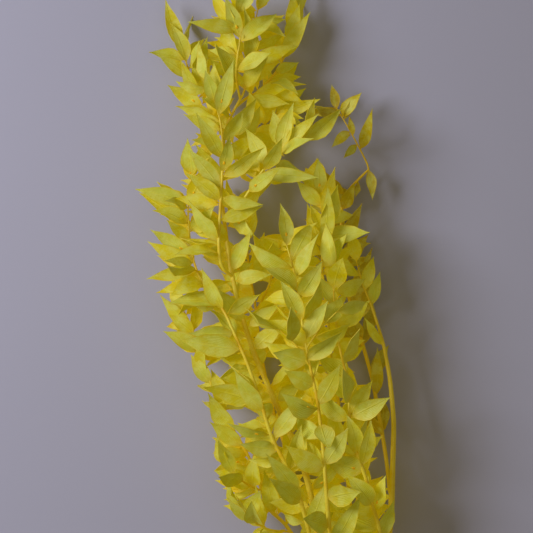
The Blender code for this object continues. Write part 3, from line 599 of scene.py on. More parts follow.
inner_right_blades = [
    (57.1, 70.1, 57.4, 38, 2, -32, 44.2, 18, 20, 2, 16, 4),
    (59.4, 44.8, 55.7, 54, 13, 5, 35, 16.9, 9, -29, -3, 8),
    (52.8, 150, 54.8, 87, 10, 11, 37.9, 15, 14, -18, -10, 0),
    (56.6, 95.4, 58.3, 80, 9, -7, 69.4, 15.9, 14, 22, 3, 1),
    (54.9, 139.6, 55.9, 135, 18, -6, 35.9, 16, 19, -27, -21, 0),
    (57.8, 110.2, 58.3, 119, -20, 29, 34.7, 16, 13, 25, 8, 3),
    (56.4, 127.1, 56.9, 73, -2, 6, 53.9, 15, 11, 12, 28, 4),
    (64.6, -5.5, 49.9, 22, -8, 9, 36.4, 18, 7, 9, -20, 3),
    (66.5, -23.3, 47.8, -31, 9, -1, 32.6, 20, 10, -19, -5, 5),
    (71.9, -51.2, 44.2, 153, -7, 10, 37.1, 20, 12, -2, -23, 6),
    (76, -91.2, 42.3, 51, 20, 29, 43.7, 19, 7, -17, -6, 5),
    (89.3, -214.5, 44, 126, -20, 51, 44.8, 24.4, 13, 22, -19, 5),
    (87.5, -194.9, 44.4, 59, 28, -33, 52.9, 19.6, 14, -30, 16, 7),
    (85.7, -175.4, 44.5, 131, 19, -12, 44.3, 20, 12, 9, 28, 5),
    (83.9, -155.8, 44.3, 73, 3, 86, 43.1, 23.9, 24, 23, 2, 7),
    (81.7, -136.3, 43.6, 122, 5, -48, 43.5, 22.4, 14, -11, -14, 6),
    (79.3, -116.8, 42.8, 67, 27, 48, 46.4, 22.3, 7, 29, -10, 7),
    (76.8, -97.3, 42.3, 113, 19, -28, 42.9, 20.9, 21, -10, -16, 3),
    (74.2, -77.9, 42.3, 73, 25, 50, 45.7, 18.8, 21, 9, 6, 5),
    (72.5, -58.3, 43.6, 126, -32, 6, 53, 21.6, 15, -28, -18, 8),
    (69.6, -39.1, 45.7, 88, -25, 38, 43.7, 20.1, 9, 3, -12, 8),
    (65.8, -19.9, 48.3, 122, 8, -34, 52.5, 21.3, 24, 23, -12, 6),
    (64.1, -0.5, 50.5, 57, -29, -39, 52, 19.9, 17, 22, 11, 6),
    (62.4, 18.9, 52.7, 123, -5, 23, 43.3, 21.9, 8, -28, -43, 8),
    (60.1, 38.3, 54.9, 67, 16, -1, 50, 18.8, 23, 3, 9, 5),
    (58.1, 57.8, 56.7, 115, -6, -36, 43, 19.4, 12, -6, -44, 7),
    (56.5, 77.3, 57.9, 54, 26, -25, 51.6, 18.9, 9, 10, -23, 3),
    (56.7, 96.9, 58.3, 114, -26, 12, 49.3, 19.5, 20, 30, 22, 5),
    (57.3, 116.5, 57.8, 77, 15, 16, 48.1, 19.8, 9, 7, 14, 2),
    (55.6, 136, 56.2, 108, -18, -2, 43.7, 18.8, 13, -32, 4, 7),
    (51.8, 155.2, 54.3, 92, -26, -3, 39.5, 20.6, 17, -16, -10, 5),
    (82, -161.5, 43.6, 177, -17, 44, 45.9, 20, 4, -8, -32, 6),
    (89.6, -200.6, 46.3, 30, 48, -3, 38.2, 18, 12, 33, -19, 2),
    (59, 107.8, 58.2, 8, -6, -18, 45.6, 22.3, 13, 21, -20, 2),
    (87.1, -169.1, 42.9, 15, -37, -11, 45.3, 18.6, 12, 24, 8, 9),
    (80.4, -145.5, 43.2, 175, -18, 38, 43, 17.7, 8, 14, 2, 8),
    (58, 123.9, 57, 18, -12, -12, 37, 15, 6, -40, -2, 3),
    (57.8, 44.1, 56, 174, 12, -12, 35.5, 17, 8, 8, -21, 6),
    (74.5, -57.6, 43.5, 22, -4, 21, 34.6, 13.6, 12, 6, 2, 7),
    (85.8, -152.4, 44.2, 30, -1, 9, 38.3, 13.9, 7, -1, 27, 7),
    (82.7, -128.6, 42.2, 35, -27, -50, 45.6, 22.6, 5, 42, -13, 9),
    (51.2, 155.7, 54.8, 132, 27, 20, 29.9, 13.4, 4, -18, -12, 2),
    (54.8, 83.8, 59.4, 176, 44, -6, 29.1, 10.7, 12, -28, -34, 3),
    (67.5, -18.6, 47.5, 23, -26, -50, 38.9, 17.8, 7, 10, 13, 4),
    (72.7, -81.8, 41.5, 168, -20, 21, 35.7, 15.2, 4, 35, -4, 5),
    (65.7, -26.6, 48.6, 159, 38, -50, 28.1, 12.3, 7, 12, 25, 4),
    (79.7, -137.3, 42.5, 168, -28, 17, 32, 11.7, 7, 18, -31, 5),
    (57.5, 52.6, 55.3, 148, -37, 40, 38.8, 17.9, 4, -2, -34, 8),
    (75.3, -97.8, 43.9, 170, 44, -5, 44.5, 17.4, 6, -10, -16, 5),
    (67.2, -34.8, 45, 178, -39, -7, 46.9, 20.9, 14, -8, 16, 7),
    (64.1, -18.5, 47.6, 154, -22, 0, 41.4, 19, 7, 3, 11, 8),
    (54.9, 92.1, 59, 162, 25, -16, 45.8, 21.7, 8, 19, -24, 4),
    (73.8, -49.7, 44, 23, -8, 21, 31.2, 12.8, 9, 30, 34, 7),
    (62, 36.8, 54.1, 25, -20, 38, 35.5, 16.5, 11, -38, 26, 6),
    (80.3, -145.8, 44.3, 180, 8, 21, 46.1, 17.4, 5, -50, -30, 6),
    (84.2, -185.4, 43.8, 177, -16, 45, 36.4, 13.4, 6, 10, -31, 8),
    (89.3, -192.3, 43.2, 32, -28, -7, 38, 14.2, 9, -7, 4, 9),
    (86, -152.9, 43.7, 19, -12, -3, 41.3, 15.8, 6, -10, -34, 8),
    (58.9, 36.3, 55.7, 170, 34, 17, 34.5, 13.9, 4, -44, 20, 5),
    (72.4, -73.3, 40.8, 142, -42, 73, 46.8, 20.4, 9, -15, -18, 8),
    (76.9, -81.8, 41.5, 13, -22, 22, 35.8, 17.9, 6, -1, -24, 8),
    (57.1, 52.3, 57.1, 164, 25, 48, 41.7, 20.2, 9, -11, 35, 5),
    (51.5, 155.7, 53.7, 113, -38, 25, 37, 18.2, 5, -13, -20, 8),
    (86.8, -160.8, 44.4, 19, 2, 19, 42.8, 21.2, 5, 30, -33, 7),
    (61.8, 4.5, 51.1, 177, 0, -10, 37.8, 14.4, 13, -8, 1, 8),
    (60.4, 20.2, 52.3, 180, -18, 8, 33.2, 15.9, 4, -23, 18, 8),
    (74.2, -89.6, 40.8, 162, -40, -29, 34.9, 13.3, 6, -1, -9, 8),
    (59.5, 28.4, 54, 172, 8, -4, 42.6, 15.9, 4, 14, -7, 7),
    (88.2, -176.5, 44.7, 26, 6, 49, 34.8, 13.4, 8, 37, -15, 8),
    (82.5, -128.7, 44.7, 34, 34, -43, 36, 15.8, 12, -22, -13, 7),
    (71.3, -41.3, 44, 55, -38, -62, 34.9, 17.4, 12, -23, -14, 8),
    (79, -97.2, 41.7, 25, -14, -57, 31.2, 13.6, 13, -43, 21, 8),
    (88.6, -184.5, 43.2, 27, -31, -16, 46.8, 17.7, 6, 13, -34, 9),
    (77.1, -113.5, 41.2, 167, -38, -5, 34.8, 16.3, 12, 21, -22, 8),
    (90.2, -200.6, 43.2, 22, -27, 64, 31.2, 11.4, 12, 43, 32, 8),
]
stems_piece("inner_right_stem", "inner_right_branch", inner_right_shoots, around=10)
blades_piece("inner_right_blades", "inner_right_branch", inner_right_blades)


# The front right branch, grown from the stalk 155 mm above the cut, low in the picture, with the roundest
# blades of the stem. Two of them stand together like a bud, and one broad one faces the camera.
front_right_shoots = [
    [
        (111.3, -234.7, 48.1, 1.44), (112, -229.6, 51.9, 2.19), (112.7, -225.1, 55.4, 2.19),
        (113.4, -220.7, 58.8, 2.17), (113.8, -214.8, 62.3, 2.17), (113.8, -187.8, 74.3, 2.12),
        (106.8, -161.8, 82.3, 2.07), (98.8, -130.8, 88.3, 1.99), (91.8, -111.8, 92.3, 1.9),
        (85.8, -94.8, 92.3, 1.79), (82.8, -74.8, 90.3, 1.66), (82.8, -52.8, 88.3, 1.52),
        (79.8, -29.8, 86.3, 1.36), (73.8, -4.8, 84.3, 1.18), (69.8, 20.2, 82.3, 0.99),
        (67.8, 45.2, 80.3, 0.78), (66.8, 75.2, 78.3, 0.55),
    ],
]
front_right_blades = [
    (91.1, -109.8, 92.3, 96, 15, 16, 44.2, 18.8, 8, -17, 7, 1),
    (94.9, -120.3, 90.5, 74, 26, 21, 50.2, 17, 16, -32, -3, 0),
    (97.1, -126.3, 89.2, 158, 6, -21, 40.3, 27, 6, -9, -1, 1),
    (106.2, -159.5, 82.8, 129, 36, 10, 44.3, 20.9, 20, -33, 2, 1),
    (110.2, -174.6, 78.4, 87, -2, -28, 45, 16, 14, -8, 19, 5),
    (108.2, -167.1, 80.7, 179, 17, 11, 29.8, 19.9, 15, -4, -3, 1),
    (113.8, -194.9, 71.2, 75, -9, 13, 42.6, 16, 13, 17, 7, 0),
    (82.8, -68.7, 89.7, 55, 5, 6, 42, 16.9, 16, -23, 9, 1),
    (82.8, -53.3, 88.3, 133, 3, 9, 36.7, 19, 18, 21, 12, 4),
    (113.8, -201.6, 68.2, 126, -26, -45, 48.7, 26.8, 14, 19, -24, 5),
    (112.8, -184.1, 75.5, 163, 7, 41, 44.3, 28, 23, 5, -33, 2),
    (108, -166.4, 80.9, 73, 13, -41, 38.9, 21, 9, 3, 3, 1),
    (103.3, -148.3, 84.9, 121, -38, 0, 47.2, 27.4, 20, 26, 4, 4),
    (98.5, -130.2, 88.4, 104, -30, -13, 42.2, 23.6, 10, -34, 31, 5),
    (92.1, -112.6, 92.1, 147, -12, 58, 38.2, 21.1, 14, -24, 20, 3),
    (85.8, -94.6, 92.3, 45, -38, 59, 47.4, 22.4, 17, -29, 3, 3),
    (82.9, -75.8, 90.4, 141, 8, -28, 49.2, 23, 9, -24, -16, 1),
    (82.8, -56.8, 88.7, 109, 42, 52, 47.8, 25.8, 11, 6, 3, 0),
    (80.8, -37.9, 87, 137, -33, 22, 44.4, 24.7, 22, 21, 9, 3),
    (77.2, -19.2, 85.4, 66, 14, 56, 42.2, 22, 8, 4, -1, 0),
    (73.1, -0.6, 84, 151, -26, -22, 44.9, 22.5, 17, -3, 24, 5),
    (70.1, 18.2, 82.5, 38, -10, -3, 43.5, 21.9, 14, 3, 5, 2),
    (68.4, 37.1, 80.9, 122, -22, 48, 48, 23.5, 22, -2, -14, 3),
    (67.4, 56.1, 79.6, 81, 20, 8, 41.4, 21.6, 11, 28, -23, 0),
    (66.8, 75.2, 78.3, 99, -3, -43, 48.1, 23.4, 9, 3, -1, 1),
    (68.7, 53.9, 79.4, 10, -14, 20, 39, 19, 12, -45, 8, 0),
    (111.6, -200.4, 70, 172, 34, -4, 28.8, 10.6, 5, -5, -7, 0),
    (92.9, -109.7, 90.9, 51, -35, 37, 33.5, 15.6, 8, 22, -30, 4),
    (84.6, -71.6, 90.8, 31, 18, 0, 45.4, 20.8, 7, -4, 3, 0),
    (113.2, -198.6, 67, 105, -36, -36, 33.9, 12.8, 3, 5, -7, 6),
]
stems_piece("front_right_stem", "front_right_branch", front_right_shoots, around=10)
blades_piece("front_right_blades", "front_right_branch", front_right_blades)


# The middle branch, in front of the rest, grown from the stalk 75 mm above the cut: 5 mm across low down, with
# two short side shoots and broad pale blades. It shows bare between them in the lower half of the picture.
middle_shoots = [
    [
        (84.9, -308, 20.1, 0.94), (83.9, -303.5, 23.1, 2.5), (82.9, -298.8, 26, 2.5),
        (81.9, -293.9, 29.1, 2.5), (80.8, -288.8, 32.3, 2.48), (79.8, -283.7, 35.4, 2.48),
        (78.8, -278.8, 38.3, 2.48), (75.4, -261.4, 47.7, 2.46), (71.8, -242.2, 57.6, 2.42),
        (68.8, -224.8, 66.3, 2.38), (65.9, -205.6, 76.3, 2.32), (63.8, -187.8, 84.3, 2.26),
        (61.7, -166.5, 91.2, 2.19), (59.8, -144.8, 96.3, 2.11), (58.4, -125.3, 98.9, 2.01),
        (56.8, -104.8, 100.3, 1.91), (54.1, -79.7, 101.5, 1.8), (50.8, -54.8, 102.3, 1.68),
        (46.8, -34.7, 102.5, 1.54), (42.8, -16.8, 102.3, 1.4), (36.8, 15.2, 100.3, 1.25),
        (32.8, 45.2, 98.3, 1.09), (27.8, 73.2, 94.3, 0.92), (21.8, 95.2, 90.3, 0.74),
        (16.8, 111.2, 86.3, 0.55),
    ],
    [
        (40.1, -2.8, 101.4, 1.1), (53.8, 17.2, 104.3, 0.96), (69.8, 33.2, 104.3, 0.55),
    ],
    [
        (43.7, -20.8, 102.4, 1.1), (29.8, 0.2, 108.3, 0.96), (13.8, 15.2, 110.3, 0.55),
    ],
]
middle_blades = [
    (41.3, -17.3, 103.4, 157, 6, -17, 37.4, 27, 13, 16, -8, 0),
    (40.7, -1.9, 101.5, 137, 9, 10, 51.4, 21, 14, -22, 13, 2),
    (35.8, 22.3, 99.8, 120, 9, 9, 48.9, 19, 20, -16, 20, 1),
    (26.8, 76.7, 93.7, 157, 17, -37, 52.4, 19.9, 19, -33, 11, 0),
    (38.5, 5.9, 100.9, 60, 4, -14, 46.1, 19, 18, 11, -6, 0),
    (39.8, -14.9, 104, 41, 13, 6, 46.7, 19, 19, -13, 33, 0),
    (32.4, 47.5, 98, 54, 27, 16, 45.8, 21, 17, -18, -6, 0),
    (28.7, 68.1, 95, 62, 29, -16, 51.7, 17, 13, -22, -39, 0),
    (58.3, -123.4, 99, 155, 28, -16, 48.8, 23, 8, -28, -6, 0),
    (53.7, -77.1, 101.6, -79, 17, -8, 30.5, 21.7, 10, 24, -10, 0),
    (65.7, -204.1, 77, 63, 17, -13, 67.3, 21, 11, 14, 16, 0),
    (20.7, 98.8, 89.4, 94, 2, 19, 43.3, 17, 13, -2, 1, 0),
    (57.9, -119, 99.3, 54, 20, 1, 46.1, 20, 11, -21, -1, 0),
    (47.8, -39.8, 102.5, 156, 18, 6, 34.8, 20, 10, -3, -18, 0),
    (51.4, -59.5, 102.2, 57, 2, 6, 46.6, 20, 11, -10, 17, 0),
    (66.3, -208.1, 75, 55, -1, -35, 53.5, 26.6, 18, -29, 21, 3),
    (63.1, -180.7, 86.6, 163, 41, 17, 49.2, 24.3, 10, 29, 1, 0),
    (60.4, -152.1, 94.6, 21, 40, 12, 49.3, 24.8, 14, 14, -11, 0),
    (58.2, -122.6, 99.1, 121, -45, -41, 48.6, 21.8, 8, 13, -9, 2),
    (55.5, -92.9, 100.9, 141, -32, 4, 41.3, 19.9, 23, -5, -27, 1),
    (51.9, -63.3, 102, 167, 35, -51, 44.6, 24.1, 22, -32, 26, 0),
    (46.6, -33.9, 102.5, 87, -34, -26, 49.4, 18.3, 23, -26, -2, 2),
    (40.5, -4.6, 101.5, 134, -26, 13, 45.9, 22.7, 7, 5, 8, 5),
    (35.5, 24.8, 99.7, 55, 18, 71, 46.2, 23.1, 12, -9, -27, 1),
    (31.2, 54.2, 97, 142, 22, 51, 43.9, 19.6, 21, -7, -30, 0),
    (25.1, 83.1, 92.5, 64, -11, 6, 52.2, 19.2, 10, -34, -9, 1),
    (48, 8.8, 103.1, 6, -12, 42, 42.2, 20.2, 24, -34, -21, 1),
    (58.2, 21.6, 104.3, 62, -34, 13, 39.3, 20.3, 10, -5, -30, 1),
    (69.8, 33.2, 104.3, 23, -35, 8, 42.8, 15.7, 15, -2, 22, 0),
    (36, -9.2, 105.7, 163, -9, -26, 44.3, 20.6, 18, -18, -24, 2),
    (26, 3.7, 108.8, 97, 25, 26, 39.1, 20.9, 9, 8, 30, 0),
    (13.8, 15.2, 110.3, 142, 7, -83, 42, 20.2, 15, 12, 2, 0),
    (48.4, 11.2, 102.2, 128, -44, 9, 42.4, 17.7, 12, -7, 25, 4),
    (31.1, 45.8, 98.3, 177, 1, 6, 35.7, 17.8, 12, -35, 35, 2),
    (34.3, 22.5, 99.3, 164, -18, -70, 36.9, 17.8, 4, -44, -1, 4),
    (38.1, -14.4, 103.3, 186, -34, -35, 28.6, 13.4, 10, 30, 8, 3),
    (29.8, 69.6, 94.3, 21, -21, -27, 30.5, 13, 14, -4, -3, 4),
    (64.6, -173.7, 86.9, 23, -36, -11, 33.1, 14.5, 6, -46, -19, 3),
]
stems_piece("middle_stem", "middle_branch", middle_shoots, around=10)
blades_piece("middle_blades", "middle_branch", middle_blades)


# The tall left branch, the longest, grown from the stalk 55 mm above the cut: 7 mm across low down, with side
# shoots to both sides near the top and a thin second stem beside it. Its blades stand close up to the tip.
tall_left_shoots = [
    [
        (80.6, -325.4, 16.6, 2.6), (79.5, -320.6, 19.6, 3.5), (78.4, -315.6, 22.6, 3.5),
        (77.2, -310.3, 25.7, 3.49), (75.9, -304.9, 28.6, 3.49), (74.8, -299.8, 31.3, 3.49),
        (70.6, -281.1, 39.5, 3.47), (66, -260, 47.6, 3.44), (61.8, -239.8, 54.3, 3.41),
        (56.6, -213.2, 60.4, 3.37), (51.8, -187.8, 64.3, 3.33), (46.9, -161.8, 67.7, 3.28),
        (41.8, -137.8, 70.3, 3.22), (36.3, -119.3, 72, 3.15), (29.8, -101.8, 73.3, 3.08),
        (21.1, -82.8, 74.5, 2.99), (10.8, -60.8, 75.3, 2.91), (2.4, -41.6, 75.2, 2.81),
        (-6.7, -20.3, 74.8, 2.71), (-14.2, -1.8, 74.3, 2.6), (-25.2, 32.2, 72.3, 2.49),
        (-30.6, 54.2, 70.5, 2.36), (-35.2, 76.2, 68.3, 2.23), (-40.2, 110.2, 63.3, 2.1),
        (-44.2, 145.2, 58.3, 1.95), (-44.7, 165.4, 55.2, 1.8), (-44.2, 185.2, 52.3, 1.64),
        (-40.2, 217.2, 49.3, 1.48), (-30.2, 239.2, 48.3, 1.31), (-21.2, 257.2, 47.3, 1.13),
        (-18.2, 283.2, 46.3, 0.94), (-14.2, 310.2, 46.3, 0.75), (-8.2, 337.2, 45.3, 0.55),
    ],
    [
        (-30.2, 239.2, 48.3, 1.5), (-19.2, 248.2, 38.3, 1.47), (-7.2, 255.2, 30.3, 1.39),
        (3.8, 267.2, 26.3, 1.26), (12.8, 279.2, 24.3, 1.08), (23.8, 303.2, 23.3, 0.84),
        (31.8, 329.2, 22.3, 0.55),
    ],
    [
        (-41.6, 122.6, 61.5, 1.4), (-26.2, 140.2, 70.3, 1.37), (-15.2, 157.2, 75.3, 1.26),
        (-5.2, 172.2, 78.3, 1.09), (14.8, 194.2, 78.3, 0.86), (36.8, 204.2, 76.3, 0.55),
    ],
    [
        (-43.2, 193, 51.6, 1.3), (-30.2, 202.2, 41.3, 1.25), (-18.2, 212.2, 33.3, 1.11),
        (-2.2, 221.2, 27.3, 0.88), (9.8, 233.2, 24.3, 0.55),
    ],
    [
        (-40.7, 213, 49.7, 1.3), (-58.2, 231.2, 39.3, 1.27), (-69.2, 247.2, 32.3, 1.18),
        (-73.2, 261.2, 29.3, 1.03), (-80.2, 283.2, 27.3, 0.82), (-86.2, 299.2, 26.3, 0.55),
    ],
    [
        (-26.2, 247.2, 47.9, 1.3), (-30.2, 269.2, 60.3, 1.25), (-28.2, 293.2, 65.3, 1.11),
        (-26.2, 307.2, 65.3, 0.88), (-29.2, 331.2, 62.3, 0.55),
    ],
    [
        (-33.5, 68.1, 69.1, 1.7), (-44.2, 79.2, 80.3, 1.68), (-47.2, 100.2, 84.3, 1.63),
        (-46.2, 130.2, 82.3, 1.54), (-44.2, 165.2, 78.3, 1.41), (-43.2, 195.2, 74.3, 1.25),
        (-45.2, 220.2, 70.3, 1.05), (-51.2, 243.2, 66.3, 0.82), (-57.2, 261.2, 63.3, 0.55),
    ],
]
tall_left_blades = [
    (-18.1, 284, 46.3, 91, 25, 20, 58.6, 18, 22, -6, 16, 2),
    (-27.3, 315.9, 64.2, 167, 33, 17, 54.9, 16, 12, -33, -29, 0),
    (-47.6, 229.2, 68.7, 79, 25, 9, 61, 18, 21, -13, -17, 0),
    (-51.3, 243.4, 66.3, 104, 16, 8, 34.6, 15, 21, -1, -8, 1),
    (-18.7, 278.8, 46.5, 31, 5, -3, 56.5, 17, 19, -18, 7, 2),
    (-21.1, 258, 47.3, 61, 28, -22, 39.7, 18, 17, -26, -6, 1),
    (16.7, 287.7, 23.9, 59, 18, -8, 55.7, 18, 21, -14, -10, 1),
    (23.2, 302, 23.3, 77, 18, 3, 45, 15.9, 17, 0, -2, 2),
    (4.2, 267.7, 26.2, 4, -19, 17, 31.5, 14, 15, 24, -7, 3),
    (-2.4, 260.4, 28.5, -22, 22, 0, 44.7, 16, 9, -27, 8, 3),
    (8.4, 273.4, 25.3, 25, 4, -17, 27.2, 12, 21, 14, 2, 0),
    (-26.3, 306.3, 65.3, 105, 11, 5, 46.3, 16.4, 17, -3, 11, 0),
    (9.8, 233.2, 24.3, 13, 4, 3, 49.6, 15, 16, 20, 6, 3),
    (-41.1, 210.1, 50, 42, 19, 29, 50, 19, 15, -32, -14, 2),
    (14.4, 193.8, 78.3, 80, 3, -12, 50.3, 17, 20, 5, 4, 1),
    (36.5, 204.1, 76.3, 36, 6, 20, 52.6, 18, 15, -23, 6, 0),
    (17.2, 195.3, 78.1, 47, 15, -14, 51, 14.9, 11, -4, -2, 2),
    (-5.9, 171.2, 78.1, 0, 6, 9, 59.6, 17, 11, 7, 4, 1),
    (-44.1, 167.8, 77.9, 34, 6, 11, 54.7, 18, 8, 13, 39, 0),
    (-44.7, 156.6, 79.3, 128, 3, 18, 51.6, 17, 12, -2, -23, 0),
    (-44, 171.9, 77.4, 79, 14, 13, 38.5, 15, 15, -24, 15, 0),
    (-85.4, 297, 26.4, 118, -10, 28, 53.6, 17, 21, 19, -16, 2),
    (-81.5, 286.6, 27.1, 164, 5, 13, 39, 14, 13, 13, 19, 1),
    (-78, 276.2, 27.9, 167, -7, 26, 26.7, 13, 19, 11, -3, 6),
    (-69.2, 247.2, 32.3, 119, 28, 0, 45.1, 13, 8, -34, 9, 3),
    (-72.7, 259.3, 29.7, 75, 17, 14, 57.3, 15.9, 11, 12, 6, 3),
    (-55.6, 228.5, 40.8, 153, 26, -7, 33.7, 15, 20, -16, 15, 5),
    (-44.7, 214.4, 71.2, 157, -8, 5, 41.9, 14, 20, 15, 5, 2),
    (-43.5, 186.1, 75.5, 118, 31, 11, 57.1, 16.9, 7, -18, -13, 1),
    (-8.6, 335.5, 45.4, 78, -2, 21, 31.3, 15, 11, -22, 18, 2),
    (-45.2, 147.5, 80.3, -15, 9, 24, 43.5, 16, 13, -4, 8, 0),
    (-39, 101.7, 64.5, 120, 23, 10, 46.9, 14.9, 13, -5, -32, 3),
    (-34.8, 74.4, 68.5, 60, 17, -12, 49.3, 16.9, 14, 17, -14, 0),
    (-21.9, 22.1, 72.9, 124, 26, 4, 51.7, 17.9, 10, -22, 7, 2),
    (-13.2, -4.4, 74.4, 44, 14, -7, 41.7, 18, 16, -16, 2, 1),
    (53.6, -197.5, 62.8, 117, -16, 23, 48.8, 22, 10, -16, -20, 4),
    (46.8, -161.2, 67.8, 71, -36, -40, 52.6, 17.7, 20, -15, -16, 6),
    (38.1, -125.2, 71.5, 141, -40, 25, 47.1, 20.6, 10, 8, 7, 6),
    (24.7, -90.6, 74, 90, 4, 39, 47.2, 19.5, 14, 15, 4, 4),
    (9.1, -56.9, 75.3, 171, -44, 58, 53.6, 20.6, 11, 2, -13, 6),
    (-5.7, -22.7, 74.9, 98, -41, 12, 44.5, 18.2, 9, -29, 18, 2),
    (-18.7, 12.1, 73.5, 150, -40, 52, 45.4, 18.7, 22, 20, -2, 6),
    (-29, 47.8, 71, 99, -34, -31, 57.4, 19.7, 12, -11, 38, 4),
    (-36.4, 84, 67.1, 148, -15, 5, 54.6, 18.4, 14, 18, 2, 5),
    (-44.5, 157.2, 56.4, 111, 7, -15, 54.5, 18.7, 6, 30, 1, 3),
    (-34.5, 229.7, 48.7, 104, -3, -74, 54.9, 19.3, 20, 8, -2, 7),
    (-20.4, 263.8, 47, 38, -36, 5, 43.7, 17, 14, 15, -1, 4),
    (-15.6, 300.7, 46.3, 102, -20, -13, 47.2, 18.2, 8, 24, 11, 7),
    (-8.2, 337.2, 45.3, 64, 6, 21, 45.7, 14.7, 22, -17, 10, 0),
    (-14.4, 251, 35.1, 15, 6, -21, 56.3, 17.5, 11, -11, -31, 3),
    (-3.1, 259.6, 28.8, 71, -42, 37, 48.4, 21.4, 9, -31, 18, 7),
    (7, 271.4, 25.6, 18, -34, 25, 47.7, 20.8, 20, -37, 31, 5),
    (15.3, 284.7, 24.1, 114, -4, 14, 49.7, 19.4, 18, 22, -5, 7),
    (21.9, 299.1, 23.5, 67, -33, 39, 52.8, 15.6, 14, 8, 15, 6),
    (27.1, 314, 22.9, 96, 23, 7, 45.1, 15.7, 14, 1, 10, 3),
    (31.8, 329.2, 22.3, 88, 7, 28, 49.6, 15.3, 18, -3, 26, 1),
    (-17.6, 153.5, 74.2, 42, 48, -10, 47.9, 16, 9, -30, 1, 0),
    (-3.3, 174.2, 78.3, 57, 22, 22, 43.6, 16.8, 8, 7, 14, 0),
    (13.9, 193.2, 78.3, 18, 42, -22, 45.1, 15.8, 13, 1, -35, 0),
    (36.8, 204.2, 76.3, 77, 0, 45, 44.9, 13.2, 6, 4, -11, 3),
    (-28.2, 203.9, 40, 56, 23, 29, 44.3, 18.1, 6, -34, 21, 2),
    (-16.2, 213.3, 32.5, 2, -13, 10, 50.5, 17.7, 7, -10, -22, 6),
    (-2.1, 221.3, 27.3, 75, 0, 1, 43.7, 17.8, 17, -9, -27, 5),
    (9.8, 233.2, 24.3, 45, -11, -3, 40.3, 15.8, 16, 4, -2, 5),
    (-54, 226.7, 41.8, 89, 11, -47, 45.3, 16.6, 12, -16, 13, 8),
    (-63.5, 238.8, 36, 144, -4, -17, 43.1, 18.5, 9, 24, -10, 3),
    (-70.7, 252.5, 31.1, 82, -2, -8, 42.6, 18.3, 20, -9, 17, 6),
    (-75.4, 268.1, 28.7, 141, 27, 39, 44.6, 14.6, 23, -16, -47, 2),
    (-80.4, 283.8, 27.3, 104, 5, 26, 43.6, 15.8, 20, -17, -25, 0),
    (-86.2, 299.2, 26.3, 84, -40, 89, 46.5, 14.1, 20, 27, -8, 2),
    (-29, 262.4, 56.5, 124, 24, 33, 49.4, 20.9, 7, 6, 3, 1),
    (-29.7, 275.4, 61.6, 25, 31, -49, 45.9, 19.8, 15, 5, 39, 0),
    (-28.5, 289.2, 64.5, 117, -19, -28, 42.6, 17.3, 17, -2, 8, 2),
    (-26.8, 303.2, 65.3, 40, 4, -18, 48.9, 19.2, 20, -35, 20, 0),
    (-27.5, 317.2, 64, 136, 1, -24, 49.6, 15.9, 19, -28, 16, 2),
    (-29.2, 331.2, 62.3, 66, 10, 14, 49.4, 18.4, 18, 17, 7, 0),
    (-47.1, 104.2, 84, 134, 11, -24, 50.8, 19.1, 9, -28, -34, 0),
    (-46.4, 124.2, 82.7, 22, -9, -7, 46.7, 16.5, 14, -15, -6, 1),
    (-45.4, 144.1, 80.7, 135, 15, -1, 44.7, 16, 22, -20, -1, 0),
    (-44.3, 164, 78.4, 26, -36, -45, 44.6, 15.9, 16, -12, -20, 4),
    (-43.6, 183.8, 75.8, 33, -34, -20, 48.9, 17.7, 21, 25, 7, 2),
    (-43.9, 203.6, 72.9, 56, -20, 18, 42.4, 16.2, 20, 8, 13, 0),
    (-46, 223.3, 69.8, 151, -10, -35, 48, 16, 13, 11, -3, 1),
    (-51, 242.4, 66.4, 87, -10, 7, 40.3, 16.6, 23, 18, -29, 3),
    (-57.2, 261.2, 63.3, 107, -9, -43, 47.4, 14.5, 10, -11, -2, 1),
    (-6.3, 173.3, 77.8, 130, -18, 16, 40.1, 18.3, 13, -32, 24, 3),
    (-36.6, 228.5, 50.1, 138, 42, 47, 41.3, 18.7, 4, -21, -2, 3),
    (-56.8, 256.4, 64.1, 186, 0, -48, 36.7, 15.5, 10, -44, 24, 1),
    (-19.7, 280.8, 45.7, 147, -27, -13, 35.6, 17.6, 5, -36, 8, 7),
    (55.8, -191.3, 65.2, 33, 26, -25, 34.1, 16.5, 10, -16, -14, 3),
    (16.5, 196.4, 77.7, 102, -18, 6, 40.8, 19.9, 8, 15, -4, 3),
    (-48.1, 92.2, 83.4, 170, 18, 74, 45.2, 20.5, 7, -25, -25, 0),
    (-32.8, 135.2, 67.9, 128, 24, -13, 38.6, 14, 11, -41, -32, 4),
    (-49.2, 100, 83.8, 167, -10, -57, 38.4, 15.1, 10, 11, -26, 0),
    (-2.6, 222.4, 28, 115, 31, -31, 28.4, 13.8, 7, -40, 6, 6),
    (13.6, -72.6, 72.5, 194, -44, -6, 45.6, 16.9, 10, -23, -30, 4),
    (-70.4, 255.7, 29.8, 44, -34, -50, 32.9, 16.2, 9, 38, 8, 8),
    (-18.1, 247.4, 39.3, -2, 7, 27, 42.5, 17.1, 11, 9, -6, 1),
    (6.5, 183.2, 77.5, -36, -31, -57, 43.9, 20.8, 8, 20, 31, 3),
    (-46.8, 157.7, 55.9, 168, -13, 7, 40.2, 15.3, 10, 14, 20, 6),
    (5.6, -40.8, 74.8, 36, -7, -57, 41.7, 20.7, 7, 10, -12, 2),
    (-32.5, 72, 66.9, 36, -45, -32, 30.6, 14.5, 13, -5, -5, 2),
    (-20.8, 9.1, 74.2, 182, 11, 20, 39.8, 18.3, 12, -37, -35, 5),
    (-20.1, 26, 72.4, 31, -6, 36, 35.4, 14.7, 9, -8, 1, 3),
    (-35.2, 63.5, 70.1, 172, 10, -66, 34.9, 12.6, 5, 34, 8, 3),
    (-40.3, 94.7, 66.8, 170, 26, -18, 42, 17, 6, -36, 18, 3),
